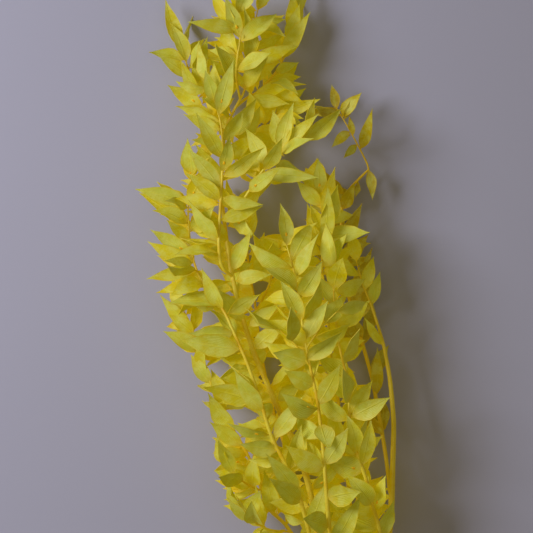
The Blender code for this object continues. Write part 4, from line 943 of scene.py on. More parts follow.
    (-9.3, 327.2, 46, -3, 15, 41, 28.5, 13.6, 12, -22, -12, 3),
    (-29.9, 330.9, 61.7, 152, -39, 31, 39.1, 16.3, 8, -18, -13, 5),
    (21, 300.6, 23.4, 148, -2, -19, 33.7, 16.4, 12, -40, 30, 8),
    (34.3, -106.3, 70.6, 45, -37, 10, 45.4, 16.9, 4, -24, -19, 7),
    (17.9, 293.5, 24.4, 137, 26, 6, 39.8, 16.6, 8, -32, 25, 4),
    (-44.4, 126.5, 60.8, 163, -5, 36, 37.4, 13.9, 3, -7, 8, 7),
    (-33.5, 55.6, 69.3, 174, -22, 12, 37.7, 17.4, 11, -32, -5, 5),
    (-20.5, 272.8, 45.8, 147, -37, 34, 43.4, 20.1, 6, -21, -11, 8),
    (-47.5, 140, 80.6, 163, -19, -10, 44.5, 17.7, 12, 29, 6, 1),
    (37.4, -113.6, 70.6, 44, -27, 58, 34, 13.7, 11, 20, -21, 5),
    (-50.1, 225.2, 42.9, 61, -22, -47, 33, 13.8, 12, -15, 34, 8),
    (-27.9, 32.5, 71, 169, -25, -49, 39.5, 17.8, 4, -16, 9, 8),
    (-77.8, 278.4, 28.7, 55, 39, -70, 38, 18.7, 3, 29, 27, 0),
    (46.5, -144.2, 70.3, 39, 14, 40, 42.2, 15.2, 8, 6, -33, 1),
    (-14.7, 252.5, 33.7, 110, -42, 2, 31, 13.3, 7, 38, 24, 6),
    (-17.6, 296.3, 45.9, 161, -18, -31, 44.7, 16.8, 11, 35, -6, 6),
    (57.1, -199.5, 60, 30, -35, -28, 32.8, 16.1, 13, 19, -33, 5),
    (-59.6, 236.1, 37, 49, -25, 29, 40.8, 18.1, 12, 14, -24, 9),
    (1.4, 267.2, 27, 123, 7, 30, 41.1, 19.1, 6, 11, -4, 7),
    (-17.8, 18.5, 74.2, 34, 19, -7, 39.8, 14.7, 12, -32, -13, 1),
    (38.4, -138.4, 69.1, 174, -17, -26, 43.8, 20.9, 8, 12, 33, 5),
    (-33, 202.3, 42.4, 118, -15, -23, 42.5, 17.3, 5, -4, -2, 6),
    (-8.8, 219, 30.2, 95, 18, -6, 40.2, 19.8, 6, 19, 6, 4),
    (-19.6, 209.2, 35.4, -14, 3, 4, 38.2, 18.5, 4, -36, -2, 4),
    (-8.6, 256.5, 31.1, 101, 2, 56, 42.1, 16.9, 14, -21, -10, 8),
    (11.6, -55.7, 73.3, 36, -35, -1, 33.2, 15.8, 6, 33, 5, 2),
    (-46.6, 149.5, 56.8, 176, -21, 54, 41.3, 19.5, 4, 34, -12, 7),
    (-12, -13.3, 72.5, 181, -40, 39, 45.2, 19.8, 12, -38, 4, 7),
    (-22.4, 257.3, 46.2, 131, -43, 62, 31.1, 14.6, 4, 31, -11, 5),
    (4.6, 226.7, 26.5, -10, 28, -4, 40.8, 17.7, 10, 32, -32, 6),
    (-30.2, 261.9, 55.7, 148, 0, 64, 39.9, 17.2, 4, 17, -23, 4),
    (-35.1, 127.3, 64.9, -29, 18, 11, 36.9, 15.2, 14, 39, 20, 1),
    (-64, 242.4, 34.4, 54, -20, 37, 39, 19.2, 9, 33, 10, 9),
    (-11, 319.5, 46.5, 0, 27, -52, 34.6, 14.1, 9, -42, 17, 2),
    (10, 232.4, 25.1, -4, 36, -14, 31.9, 12.4, 9, -20, 15, 4),
    (31.5, 202.8, 76.6, 76, -11, 56, 29.4, 12.2, 10, -41, -32, 4),
    (-48.4, 116.4, 82.3, 152, -26, -32, 37.4, 14.3, 14, -20, 13, 6),
    (-42.5, 109.9, 62, 183, -29, -24, 37.8, 18.3, 9, -47, -23, 8),
    (42.2, -153.5, 70.6, 165, 32, 30, 31, 14.9, 9, 20, 0, 4),
    (42.6, -129.1, 69.5, 35, -22, 0, 34.3, 15.4, 11, -31, -22, 8),
    (-3.6, -35.7, 75.2, 185, 2, 8, 44.8, 21, 12, 35, 16, 3),
    (-11.1, 327.9, 46.4, 142, 40, -13, 37.4, 17, 5, -21, -26, 3),
    (49.3, -193.5, 65, 184, 23, 11, 34, 15.6, 10, 19, -21, 0),
    (43.2, -161.4, 67.5, 169, -3, 8, 40.5, 20.1, 10, 8, -2, 2),
    (-15.1, 296.5, 46.1, 25, -10, 61, 40.2, 18, 12, -12, -20, 1),
    (-0.5, 179.4, 77.6, 114, -24, -11, 44.4, 17.7, 3, 36, -12, 2),
    (-12.6, -13.7, 75.4, 188, 14, -24, 36.3, 15.8, 8, -39, 3, 3),
    (-9.7, -21.3, 74.2, 192, -10, -25, 41.3, 18.5, 6, 39, -21, 2),
    (-38.8, 86.7, 65, 173, -40, -33, 36.6, 16.1, 13, -11, 31, 4),
    (-0.3, -42.9, 74.1, 183, -19, -11, 43, 19.2, 11, 37, -8, 6),
    (-29, 322.7, 62.5, 174, -45, 75, 40.3, 15.1, 4, 12, 6, 6),
    (42.9, -129.5, 72.2, 27, 20, 35, 38.1, 14, 7, -27, -31, 5),
    (-45.5, 203, 73.2, 174, 5, -27, 29.8, 11.4, 6, 5, -7, 2),
    (24, 199.5, 76.9, 92, -28, -35, 34.9, 15.1, 10, -2, 33, 6),
    (-15.5, 215.3, 32.9, 98, 24, -6, 31.6, 15.2, 12, -2, -16, 6),
    (-27.6, 206.5, 38.4, 120, -20, 31, 39.6, 16.5, 13, -23, -34, 8),
    (-36.9, 129.9, 63.4, 98, -29, 64, 39.6, 16.8, 12, 15, -9, 6),
    (-20, 280.4, 46.7, 168, 12, 47, 46.2, 16.6, 5, -9, 32, 4),
    (-48.6, 108.2, 82.5, 158, -36, -1, 35.2, 14.4, 12, -14, 18, 5),
    (-77.3, 278.3, 27.4, 36, -19, -2, 41.8, 19.7, 6, 24, 26, 6),
    (-29.9, 291.4, 64.3, 167, -21, -12, 29.5, 13.4, 11, 1, 17, 2),
    (-82.8, 293.1, 26.1, 30, -28, 3, 30.1, 11.5, 4, -1, -29, 3),
    (-9.6, 335.4, 44.9, 161, -26, -9, 29.6, 10.8, 4, -3, 7, 7),
    (-30.3, 63.8, 71.4, 19, 38, -8, 38.8, 16, 14, -48, -3, 0),
    (-7.9, 216.4, 29.1, -54, -24, -27, 38.4, 14.6, 12, 39, 20, 6),
    (3.6, 265.6, 28.2, 0, 49, -74, 45.8, 17.7, 5, -37, 8, 0),
    (-30.6, 134.8, 65.9, 40, -39, -15, 46.7, 19.8, 4, 2, 30, 4),
    (52.8, -175.6, 64.2, 35, -22, 60, 30.8, 14.1, 4, 17, 1, 3),
    (-42.5, 173.3, 52.9, 8, -30, 72, 32.8, 14.6, 8, 21, 8, 9),
    (-38.7, 118.9, 61.9, 23, -6, -18, 33.3, 15.6, 10, -18, 22, 4),
    (-44.1, 197.5, 52.7, 152, 44, -14, 36, 15.4, 13, -26, -27, 7),
    (-47.2, 217.4, 45.8, 214, -29, 24, 34.7, 12.8, 4, 44, -23, 8),
    (-68, 248.4, 32.6, 42, 10, 68, 44.4, 19, 8, -47, -7, 8),
    (-10.7, 166.8, 76.5, 128, -16, 27, 36.3, 17.4, 4, -6, 18, 4),
    (-11.1, 319.6, 45.4, 7, -28, -39, 33.5, 15.1, 14, 40, 16, 7),
    (-23.1, 17.1, 74.2, 174, 18, 21, 40.4, 15.7, 6, -20, -3, 4),
    (-30, 40, 72.1, 176, 8, 27, 34.7, 16.8, 7, 0, -24, 6),
    (45.9, -144.3, 67.2, 44, -34, 3, 33.1, 12.9, 12, 2, 26, 5),
    (-4, 171.7, 77.3, -19, -35, 42, 38.2, 14.9, 12, -13, -6, 5),
    (-42.5, 171.8, 76.6, 25, -30, -63, 31.7, 13.2, 11, -1, 6, 6),
    (-52.1, 249.6, 64.8, 29, -23, 6, 35, 15.3, 8, -14, 22, 5),
    (-46.2, 142.1, 58.6, 165, -5, 48, 37.2, 15, 5, -41, 2, 8),
    (-35.6, 94.9, 67, 14, 30, 17, 28.1, 11.3, 4, 20, -7, 3),
    (-43.2, 118.3, 60.7, 168, -35, -37, 42.9, 20.7, 4, -26, 21, 9),
    (-17.6, 296.5, 46.5, 155, 7, -25, 36.7, 14.4, 13, 12, 16, 4),
    (-16.1, 288.1, 46, 4, -12, -14, 38.4, 15.2, 10, -44, -7, 6),
]
stems_piece("tall_left_stem", "tall_left_branch", tall_left_shoots, around=12)
blades_piece("tall_left_blades", "tall_left_branch", tall_left_blades)


# The outer left branch, grown from the foot of the tall one: 4 mm across, curved, with long blades that point
# out to the left. They make the picture's left outline.
outer_left_shoots = [
    [
        (61.7, -256.6, 52.7, 1.16), (60, -251.8, 55.1, 2.17), (58.4, -247, 57.6, 2.2),
        (53.8, -232.8, 64.3, 2.19), (48.9, -213.7, 71.1, 2.17), (44.2, -193.3, 77.3, 2.15),
        (39.8, -174.8, 82.3, 2.12), (33.7, -152.6, 87.2, 2.09), (27.8, -134.8, 90.3, 2.05),
        (15.8, -111.8, 94.3, 2), (5.8, -91.8, 95.3, 1.95), (-0.2, -73.4, 96.3, 1.89),
        (-6.2, -53.8, 97.3, 1.82), (-16.2, -24.8, 98.3, 1.75), (-24.2, -4.8, 97.3, 1.67),
        (-33.2, 15.2, 95.3, 1.59), (-42.2, 34.2, 92.3, 1.5), (-59.2, 58.2, 84.3, 1.4),
        (-67.2, 70.2, 79.3, 1.3), (-72.2, 83.2, 74.3, 1.19), (-76.2, 105.2, 68.3, 1.07),
        (-78.2, 133.2, 63.3, 0.95), (-77.2, 155.2, 60.3, 0.82), (-72.2, 177.2, 57.3, 0.69),
        (-65.2, 197.2, 54.3, 0.55),
    ],
]
outer_left_blades = [
    (-77.8, 141.3, 62.2, 158, 10, 15, 56, 19, 10, -11, -22, 1),
    (-77.4, 121.8, 65.3, 151, -1, 21, 58.9, 18, 21, -2, 3, 4),
    (-73.4, 89.5, 72.6, 148, 1, -13, 50.1, 17, 20, 3, 23, 2),
    (-71.9, 82.5, 74.6, 163, 5, -11, 51.4, 16.9, 16, -11, -1, 2),
    (-69.4, 76, 77.1, -174, 12, -1, 51.4, 16, 8, -10, 0, 2),
    (-61.6, 61.7, 82.8, -173, 15, 10, 49.4, 17, 20, -31, 24, 3),
    (-45.9, 39.3, 90.6, 162, 9, 57, 51.7, 25, 8, -28, -12, 1),
    (-31.9, 12.3, 95.6, -175, 13, -9, 45.5, 19, 6, -14, -9, 1),
    (-24.8, -3.4, 97.2, 176, 8, 1, 62, 25, 20, -6, -12, 0),
    (-5.6, -55.7, 97.2, 166, -5, -28, 59.6, 25, 7, 18, 6, 1),
    (6.5, -93.3, 95.2, 50, -11, -12, 52.2, 20, 18, 22, -18, 1),
    (-75.1, 164.4, 59, 97, 5, 0, 31.7, 16, 7, -15, -5, 4),
    (-72.1, 177.5, 57.2, 53, 12, -8, 46.5, 14.9, 20, 10, 4, 6),
    (-43.1, 35.4, 91.9, 113, 14, -22, 46.9, 17, 19, -6, 2, 0),
    (-2.4, -66.3, 96.7, 133, 20, -24, 52.3, 19.9, 8, -22, 5, 0),
    (12, -104.4, 94.7, 141, -28, -12, 52.4, 19.9, 17, 15, 17, 4),
    (22.7, -125.1, 92, 82, 11, 26, 48.8, 19, 17, 1, -21, 1),
    (32.4, -148.8, 87.8, 124, 35, 2, 59.6, 19.6, 9, -18, -10, 1),
    (42.2, -184.9, 79.5, 69, 21, 11, 53.5, 19, 11, -23, -15, 1),
    (34.8, -156.9, 86.2, 142, 37, 7, 51, 21, 21, 2, -3, 0),
    (25, -129.4, 91.2, 74, -9, 9, 52.5, 17.1, 10, -37, -23, 4),
    (11.5, -103.2, 94.7, 177, 11, 6, 40, 19.2, 14, 10, -21, 0),
    (0.6, -75.7, 96.2, 99, -48, 1, 40.6, 18.7, 13, -28, -10, 1),
    (-8.4, -47.5, 97.5, 136, -1, 77, 42.5, 16.9, 16, -1, 18, 1),
    (-18.3, -19.5, 98, 151, -37, 33, 40.3, 15.9, 13, -14, 19, 2),
    (-29.9, 7.8, 96, 124, -36, 33, 52.9, 16.4, 23, -15, 18, 1),
    (-59, 57.8, 84.4, 149, -33, 7, 42.8, 20.4, 8, 9, 58, 6),
    (-71.9, 82.5, 74.6, 118, -57, -29, 51, 19.7, 7, 6, -6, 8),
    (-76.6, 110.8, 67.3, 122, -37, 23, 52.8, 18.4, 10, -26, -32, 8),
    (-77.9, 140.1, 62.4, 67, -6, -1, 47.1, 17.3, 15, 6, 24, 4),
    (-74, 169.1, 58.4, 91, 22, -14, 40, 18.3, 22, 7, -9, 1),
    (-65.2, 197.2, 54.3, 67, -7, 20, 44.8, 16.5, 15, 6, -20, 7),
    (-76.3, 121.2, 64.5, 27, -43, -42, 37.6, 14.4, 5, 42, -34, 8),
    (-59, 55, 84.1, 208, -30, -40, 40.7, 17.8, 4, 38, -29, 3),
    (-77.1, 136.9, 63.8, 29, 42, 7, 32.2, 14.1, 4, -22, -23, 4),
    (-77.7, 104.8, 68, 185, -14, 48, 31.3, 13.3, 8, 20, 29, 5),
    (37.7, -176.5, 81.1, 177, -16, -35, 28.2, 11.7, 9, -46, 2, 0),
    (-78.9, 144.7, 61.2, 163, -25, 54, 37.4, 15.2, 9, 41, 0, 5),
    (2.6, -89, 96.3, 177, 19, -41, 45.6, 17.1, 9, -43, -25, 0),
    (12.8, -111.5, 94.3, 198, -1, -18, 32.6, 12.7, 14, -35, 12, 2),
    (-9.3, -51.2, 96.5, 183, -23, -1, 39.3, 14.9, 6, 26, 7, 4),
    (-38.6, 31.4, 92.8, 38, -5, 35, 38.2, 17.1, 7, 16, -19, 0),
    (-25.6, -6, 96.2, 181, -32, 26, 46.9, 17.1, 12, -28, 32, 2),
    (-76.4, 97.3, 70.7, 180, 8, 11, 30.2, 14.8, 5, -16, -33, 4),
    (-79.2, 128.9, 64.9, 164, 28, 18, 28.3, 13.9, 9, -38, -7, 2),
    (0, -81.3, 95.6, 175, -6, 53, 32.8, 13.6, 9, -3, -8, 1),
    (-77.1, 105.9, 69.2, 134, 31, -28, 34, 13.5, 12, 5, 20, 0),
    (-50.2, 42.4, 88.3, 206, -29, -37, 31.4, 15.7, 10, -34, 24, 3),
    (-78.8, 137.1, 63.9, 138, 46, 58, 31.6, 15, 11, -38, 17, 0),
    (-73.1, 82.3, 75.8, 177, 42, 13, 34.6, 12.6, 7, -10, 27, 0),
    (-75.8, 113.7, 67.8, 46, 35, 6, 40.6, 17.2, 10, -10, -6, 2),
    (-63.2, 61.9, 84, 186, 42, 23, 38.5, 19, 3, -46, -4, 0),
    (-79, 136.9, 61.9, 152, -43, -49, 44.4, 17.7, 12, 10, -1, 6),
    (-78.4, 121.4, 66.3, 146, 31, 34, 39.9, 18.8, 7, -38, 18, 1),
    (-70.3, 75.1, 78.8, 182, 49, -55, 43.1, 20.4, 11, -10, -23, 0),
    (-73.3, 82.1, 73.7, 184, -34, 30, 39.6, 14.8, 12, 44, -28, 7),
]
stems_piece("outer_left_stem", "outer_left_branch", outer_left_shoots, around=10)
blades_piece("outer_left_blades", "outer_left_branch", outer_left_blades)


# The lower left branch, grown from the tall one beside the outer one, 4 mm across at its foot, with two side
# shoots, dense with blades of middle size. It fills the lower left edge.
lower_left_shoots = [
    [
        (61.1, -253.4, 45.2, 1.93), (58.3, -247.7, 45.1, 2.09), (55.4, -242, 45.1, 2.09),
        (52.6, -236.4, 45.1, 2.09), (49.7, -230.9, 45.1, 2.06), (43.8, -219.8, 45.3, 2.06),
        (30.9, -198.1, 46.6, 2.02), (18.8, -179.8, 48.3, 1.95), (1.8, -162.8, 51.3, 1.87),
        (-8.2, -134.8, 54.3, 1.77), (-20.2, -106.8, 56.3, 1.65), (-34.2, -82.8, 56.3, 1.51),
        (-46.2, -56.8, 55.3, 1.36), (-58.2, -32.8, 54.3, 1.18), (-68.2, -6.8, 52.3, 0.99),
        (-74.2, 17.2, 50.3, 0.78), (-82.2, 33.2, 48.3, 0.55),
    ],
    [
        (-4, -146.7, 53, 1.1), (-16.2, -140.8, 66.3, 1.04), (-30.2, -130.8, 74.3, 0.86),
        (-40.2, -120.8, 76.3, 0.55),
    ],
    [
        (24, -187.7, 47.6, 1.1), (3.8, -184.8, 62.3, 1.04), (-12.2, -176.8, 70.3, 0.86),
        (-24.2, -162.8, 72.3, 0.55),
    ],
]
lower_left_blades = [
    (-68.2, -6.9, 52.3, 141, 20, 9, 41, 18, 12, -32, 1, 1),
    (-72.7, 11.1, 50.8, 139, 13, 11, 32.3, 15, 20, -24, -17, 0),
    (-75, 18.8, 50.1, 141, 6, -15, 44.4, 15.9, 15, -14, -23, 2),
    (-55.1, -39, 54.6, 132, 12, -9, 37.2, 15.9, 19, -32, 5, 0),
    (-30.5, -89.1, 56.3, 129, 3, -2, 52.6, 20, 21, 17, -31, 2),
    (-23.6, -101, 56.3, 140, 12, -11, 41.6, 17.9, 16, -1, -7, 0),
    (-18.1, -111.8, 55.9, 150, -23, 0, 41.9, 20, 7, 24, -7, 6),
    (-10.1, -130.3, 54.6, 163, 17, -15, 36.1, 17, 12, -28, 7, 5),
    (-14.2, -141.8, 64.1, 157, 14, 31, 41.8, 21, 14, -12, -5, 3),
    (-13.4, -175.5, 70.5, 145, 18, -54, 36.3, 16.9, 10, -1, 10, 1),
    (7.5, -168.5, 50.3, 97, 38, 2, 50.3, 18.8, 9, -20, -14, 1),
    (43.2, -218.9, 45.4, 88, 8, 24, 45.2, 22, 17, -28, -25, 3),
    (32.1, -200.1, 46.5, 178, 29, -10, 48.8, 20.5, 12, -34, 14, 2),
    (20.1, -181.8, 48.1, 75, 2, 47, 49.3, 19.1, 18, -36, 9, 6),
    (5.1, -166.1, 50.7, 175, 3, -19, 48.7, 22.6, 16, -28, 50, 7),
    (-11.9, -126.3, 54.9, 155, -23, -2, 38.7, 17.4, 7, 19, -23, 9),
    (-20.5, -106.3, 56.3, 64, -54, 62, 37.9, 20, 22, -35, -3, 8),
    (-31.6, -87.3, 56.3, 131, -45, -12, 40.4, 15.6, 21, -11, 13, 5),
    (-41.2, -67.7, 55.7, 99, 11, 12, 46.4, 18.5, 12, -28, -6, 3),
    (-50.7, -47.9, 54.9, 147, -53, 28, 38.1, 16.8, 16, -21, 25, 3),
    (-60, -28.2, 53.9, 101, 19, -46, 37.6, 16.3, 11, -3, 3, 2),
    (-67.9, -7.8, 52.4, 130, -36, -11, 41.5, 19.7, 19, -15, -9, 7),
    (-73.3, 13.4, 50.6, 82, -13, 34, 45.9, 16.3, 17, -2, -11, 4),
    (-82.2, 33.2, 48.3, 122, 1, -26, 37.2, 16.7, 17, -37, -14, 4),
    (-14.1, -141.9, 64, 85, 45, -25, 41.8, 19.4, 16, -16, -3, 1),
    (-22.8, -136.2, 70, 159, 43, -22, 41, 20, 10, 23, 3, 0),
    (-31.7, -129.4, 74.6, 118, 15, 7, 43.7, 15.8, 18, 26, -17, 0),
    (-40.2, -120.8, 76.3, 103, 6, -13, 35.6, 15, 10, 27, -46, 3),
    (8.8, -185.5, 58.7, -146, 21, 44, 38.2, 22.1, 11, 20, -31, 1),
    (-0.2, -182.8, 64.3, 138, 3, -55, 44.3, 19.6, 13, -8, -20, 5),
    (-9.3, -178.3, 68.8, 117, 58, -32, 40, 19.3, 18, -21, -10, 0),
    (-17, -171.2, 71.1, 68, 38, -25, 37.8, 19, 13, -2, 20, 2),
    (-24.2, -162.8, 72.3, 123, 9, -63, 34.1, 16.3, 23, -10, -5, 1),
    (-47.5, -50.4, 54.4, 41, -22, -18, 46.9, 19.1, 14, -34, -7, 8),
    (-6.1, -136.4, 52.4, 55, -42, -11, 32.3, 12.8, 4, 34, -34, 6),
    (-80.1, 30.9, 48.8, 68, 3, 66, 30.5, 15.2, 14, -41, -26, 7),
    (-10.5, -145, 58.1, 212, -17, 59, 33.9, 15.6, 5, 38, -4, 3),
    (19.4, -185.1, 48.4, 206, 10, -61, 35.5, 15.1, 6, -16, 24, 5),
    (11.8, -170.2, 48.3, 72, -32, 50, 43, 15.9, 11, -24, 4, 6),
    (-17.7, -107.2, 56.4, 32, 5, -43, 43.3, 15.6, 7, 41, 22, 7),
    (-50.9, -43.4, 54.4, 36, -13, 33, 30.4, 11.2, 10, -38, -28, 6),
    (-63.7, -14.2, 53, 37, 2, 37, 43, 19.1, 8, -39, 9, 6),
    (-6.4, -145.1, 51.8, 174, -36, 0, 44.8, 19.4, 4, -13, -10, 8),
    (-70.6, 8.3, 51.5, 23, 19, 37, 36, 14.9, 9, -27, 2, 6),
    (-11.7, -121.6, 56, 45, 21, 3, 32.7, 16.3, 5, -37, 30, 8),
    (32, -204.4, 45.7, 185, -12, -70, 29.8, 12.2, 9, 0, 34, 3),
    (-67.1, -6.8, 51.3, 49, -45, -6, 35.1, 17.5, 10, -8, -15, 8),
    (-18.6, -115.9, 55.2, 185, -12, -20, 35.5, 17.7, 6, 36, -5, 6),
    (-21.8, -100.1, 57.1, 41, 23, 17, 40, 17.5, 9, 8, -32, 6),
    (-15.5, -141.6, 63.1, 176, -43, 41, 42.8, 16.7, 6, 22, -9, 7),
    (23.7, -191.6, 46.7, 201, -13, 58, 41.8, 15.9, 12, 41, 1, 7),
    (-60.8, -21.7, 53.8, 33, 11, -67, 34.3, 13.5, 4, -19, -17, 4),
    (-80, 30.5, 48, 51, -41, 11, 39.9, 17.6, 11, 23, -20, 8),
    (-2, -180.5, 64.9, 96, -7, -40, 43.3, 18.4, 4, 34, -27, 4),
    (-25.4, -101.9, 56.7, 194, 10, 29, 29.2, 10.8, 6, -23, 4, 6),
    (-72.8, 8.1, 50.1, 161, -42, 48, 37.1, 15.9, 9, 3, 30, 6),
    (-40.8, -65.2, 54.3, 34, -45, -23, 30.1, 11.3, 12, -14, -19, 8),
    (-8.8, -129.3, 56.2, 40, 42, 30, 46.9, 21.4, 6, -14, 9, 4),
    (-3.6, -143.5, 51.9, 64, -32, -49, 45.1, 17.8, 13, -43, 31, 6),
    (-63.9, -14.5, 52, 30, -36, 50, 46.9, 17.4, 4, 14, -26, 8),
    (-40.6, -65, 56.7, 36, 32, 49, 42.4, 18.5, 5, 37, -2, 4),
    (-77.9, 22.6, 48.8, 190, -38, 19, 30.1, 11.5, 12, 0, -23, 6),
    (-25.8, -93.1, 56.6, 42, 9, 44, 28.5, 12, 7, -24, 26, 7),
    (-21.5, -108.3, 57.2, 177, 29, 29, 32.5, 13.3, 4, -27, -28, 4),
    (-46.8, -59.2, 54.2, 195, -38, -23, 29.6, 10.7, 12, -43, -4, 4),
    (-15.7, -142, 63.5, 190, -26, 40, 30.3, 14.5, 11, 14, -7, 5),
    (-14.7, -114.7, 54.6, 32, -28, -72, 39.7, 16.1, 6, 14, 29, 8),
    (28, -198.1, 46.3, 197, -8, 39, 38.3, 16.1, 11, 38, 8, 4),
    (10.9, -170.1, 48.3, 96, -32, -69, 33.7, 16.6, 4, 30, -9, 6),
    (-2.5, -183.1, 66, 238, 35, 72, 32.8, 13.9, 11, 19, 11, 0),
    (0.2, -151.5, 52.7, 32, 9, 6, 46.4, 18.9, 9, 10, -7, 7),
]
stems_piece("lower_left_stem", "lower_left_branch", lower_left_shoots, around=10)
blades_piece("lower_left_blades", "lower_left_branch", lower_left_blades)


# The inner left branch, grown from the tall one too, the lowest layer: its blades reach the surface and carry
# the stem there. It shows through the gaps of the others as deeper yellow, which is partly painted shade and
# painted light, given by its blades' deep tints and stronger glow.
inner_left_shoots = [
    [
        (56, -223.6, 49.6, 2.19), (53.6, -218, 46.8, 2.19), (51.3, -212.3, 44.1, 2.19),
        (49.1, -206.7, 41.5, 2.19), (46.8, -201.1, 38.9, 2.18), (42.8, -189.8, 34.3, 2.18),
        (36.9, -167, 28.2, 2.15), (31.8, -144.8, 24.3, 2.11), (25.8, -124.2, 21.7, 2.06),
        (19.8, -104.8, 20.3, 1.99), (13.5, -87, 19.5, 1.92), (7.8, -69.8, 19.3, 1.83),
        (-0.2, -34.8, 19.3, 1.74), (-4, -14.8, 19.7, 1.63), (-7.2, 5.2, 20.3, 1.51),
        (-11.2, 40.2, 21.3, 1.38), (-16.2, 70.2, 22.3, 1.24), (-19.2, 100.2, 22.3, 1.08),
        (-16.2, 130.2, 22.3, 0.92), (-10.2, 155.2, 21.3, 0.74), (-4.2, 180.2, 20.3, 0.55),
    ],
    [
        (-10.4, 33.1, 21.1, 1.2), (1.8, 57.2, 38.3, 1.13), (9.8, 83.2, 48.3, 0.91),
        (17.8, 105.2, 52.3, 0.55),
    ],
    [
        (19.8, -104.8, 20.3, 1.2), (30.8, -90.8, 40.3, 1.13), (41.8, -70.8, 58.3, 0.91),
        (47.8, -54.8, 68.3, 0.55),
    ],
]
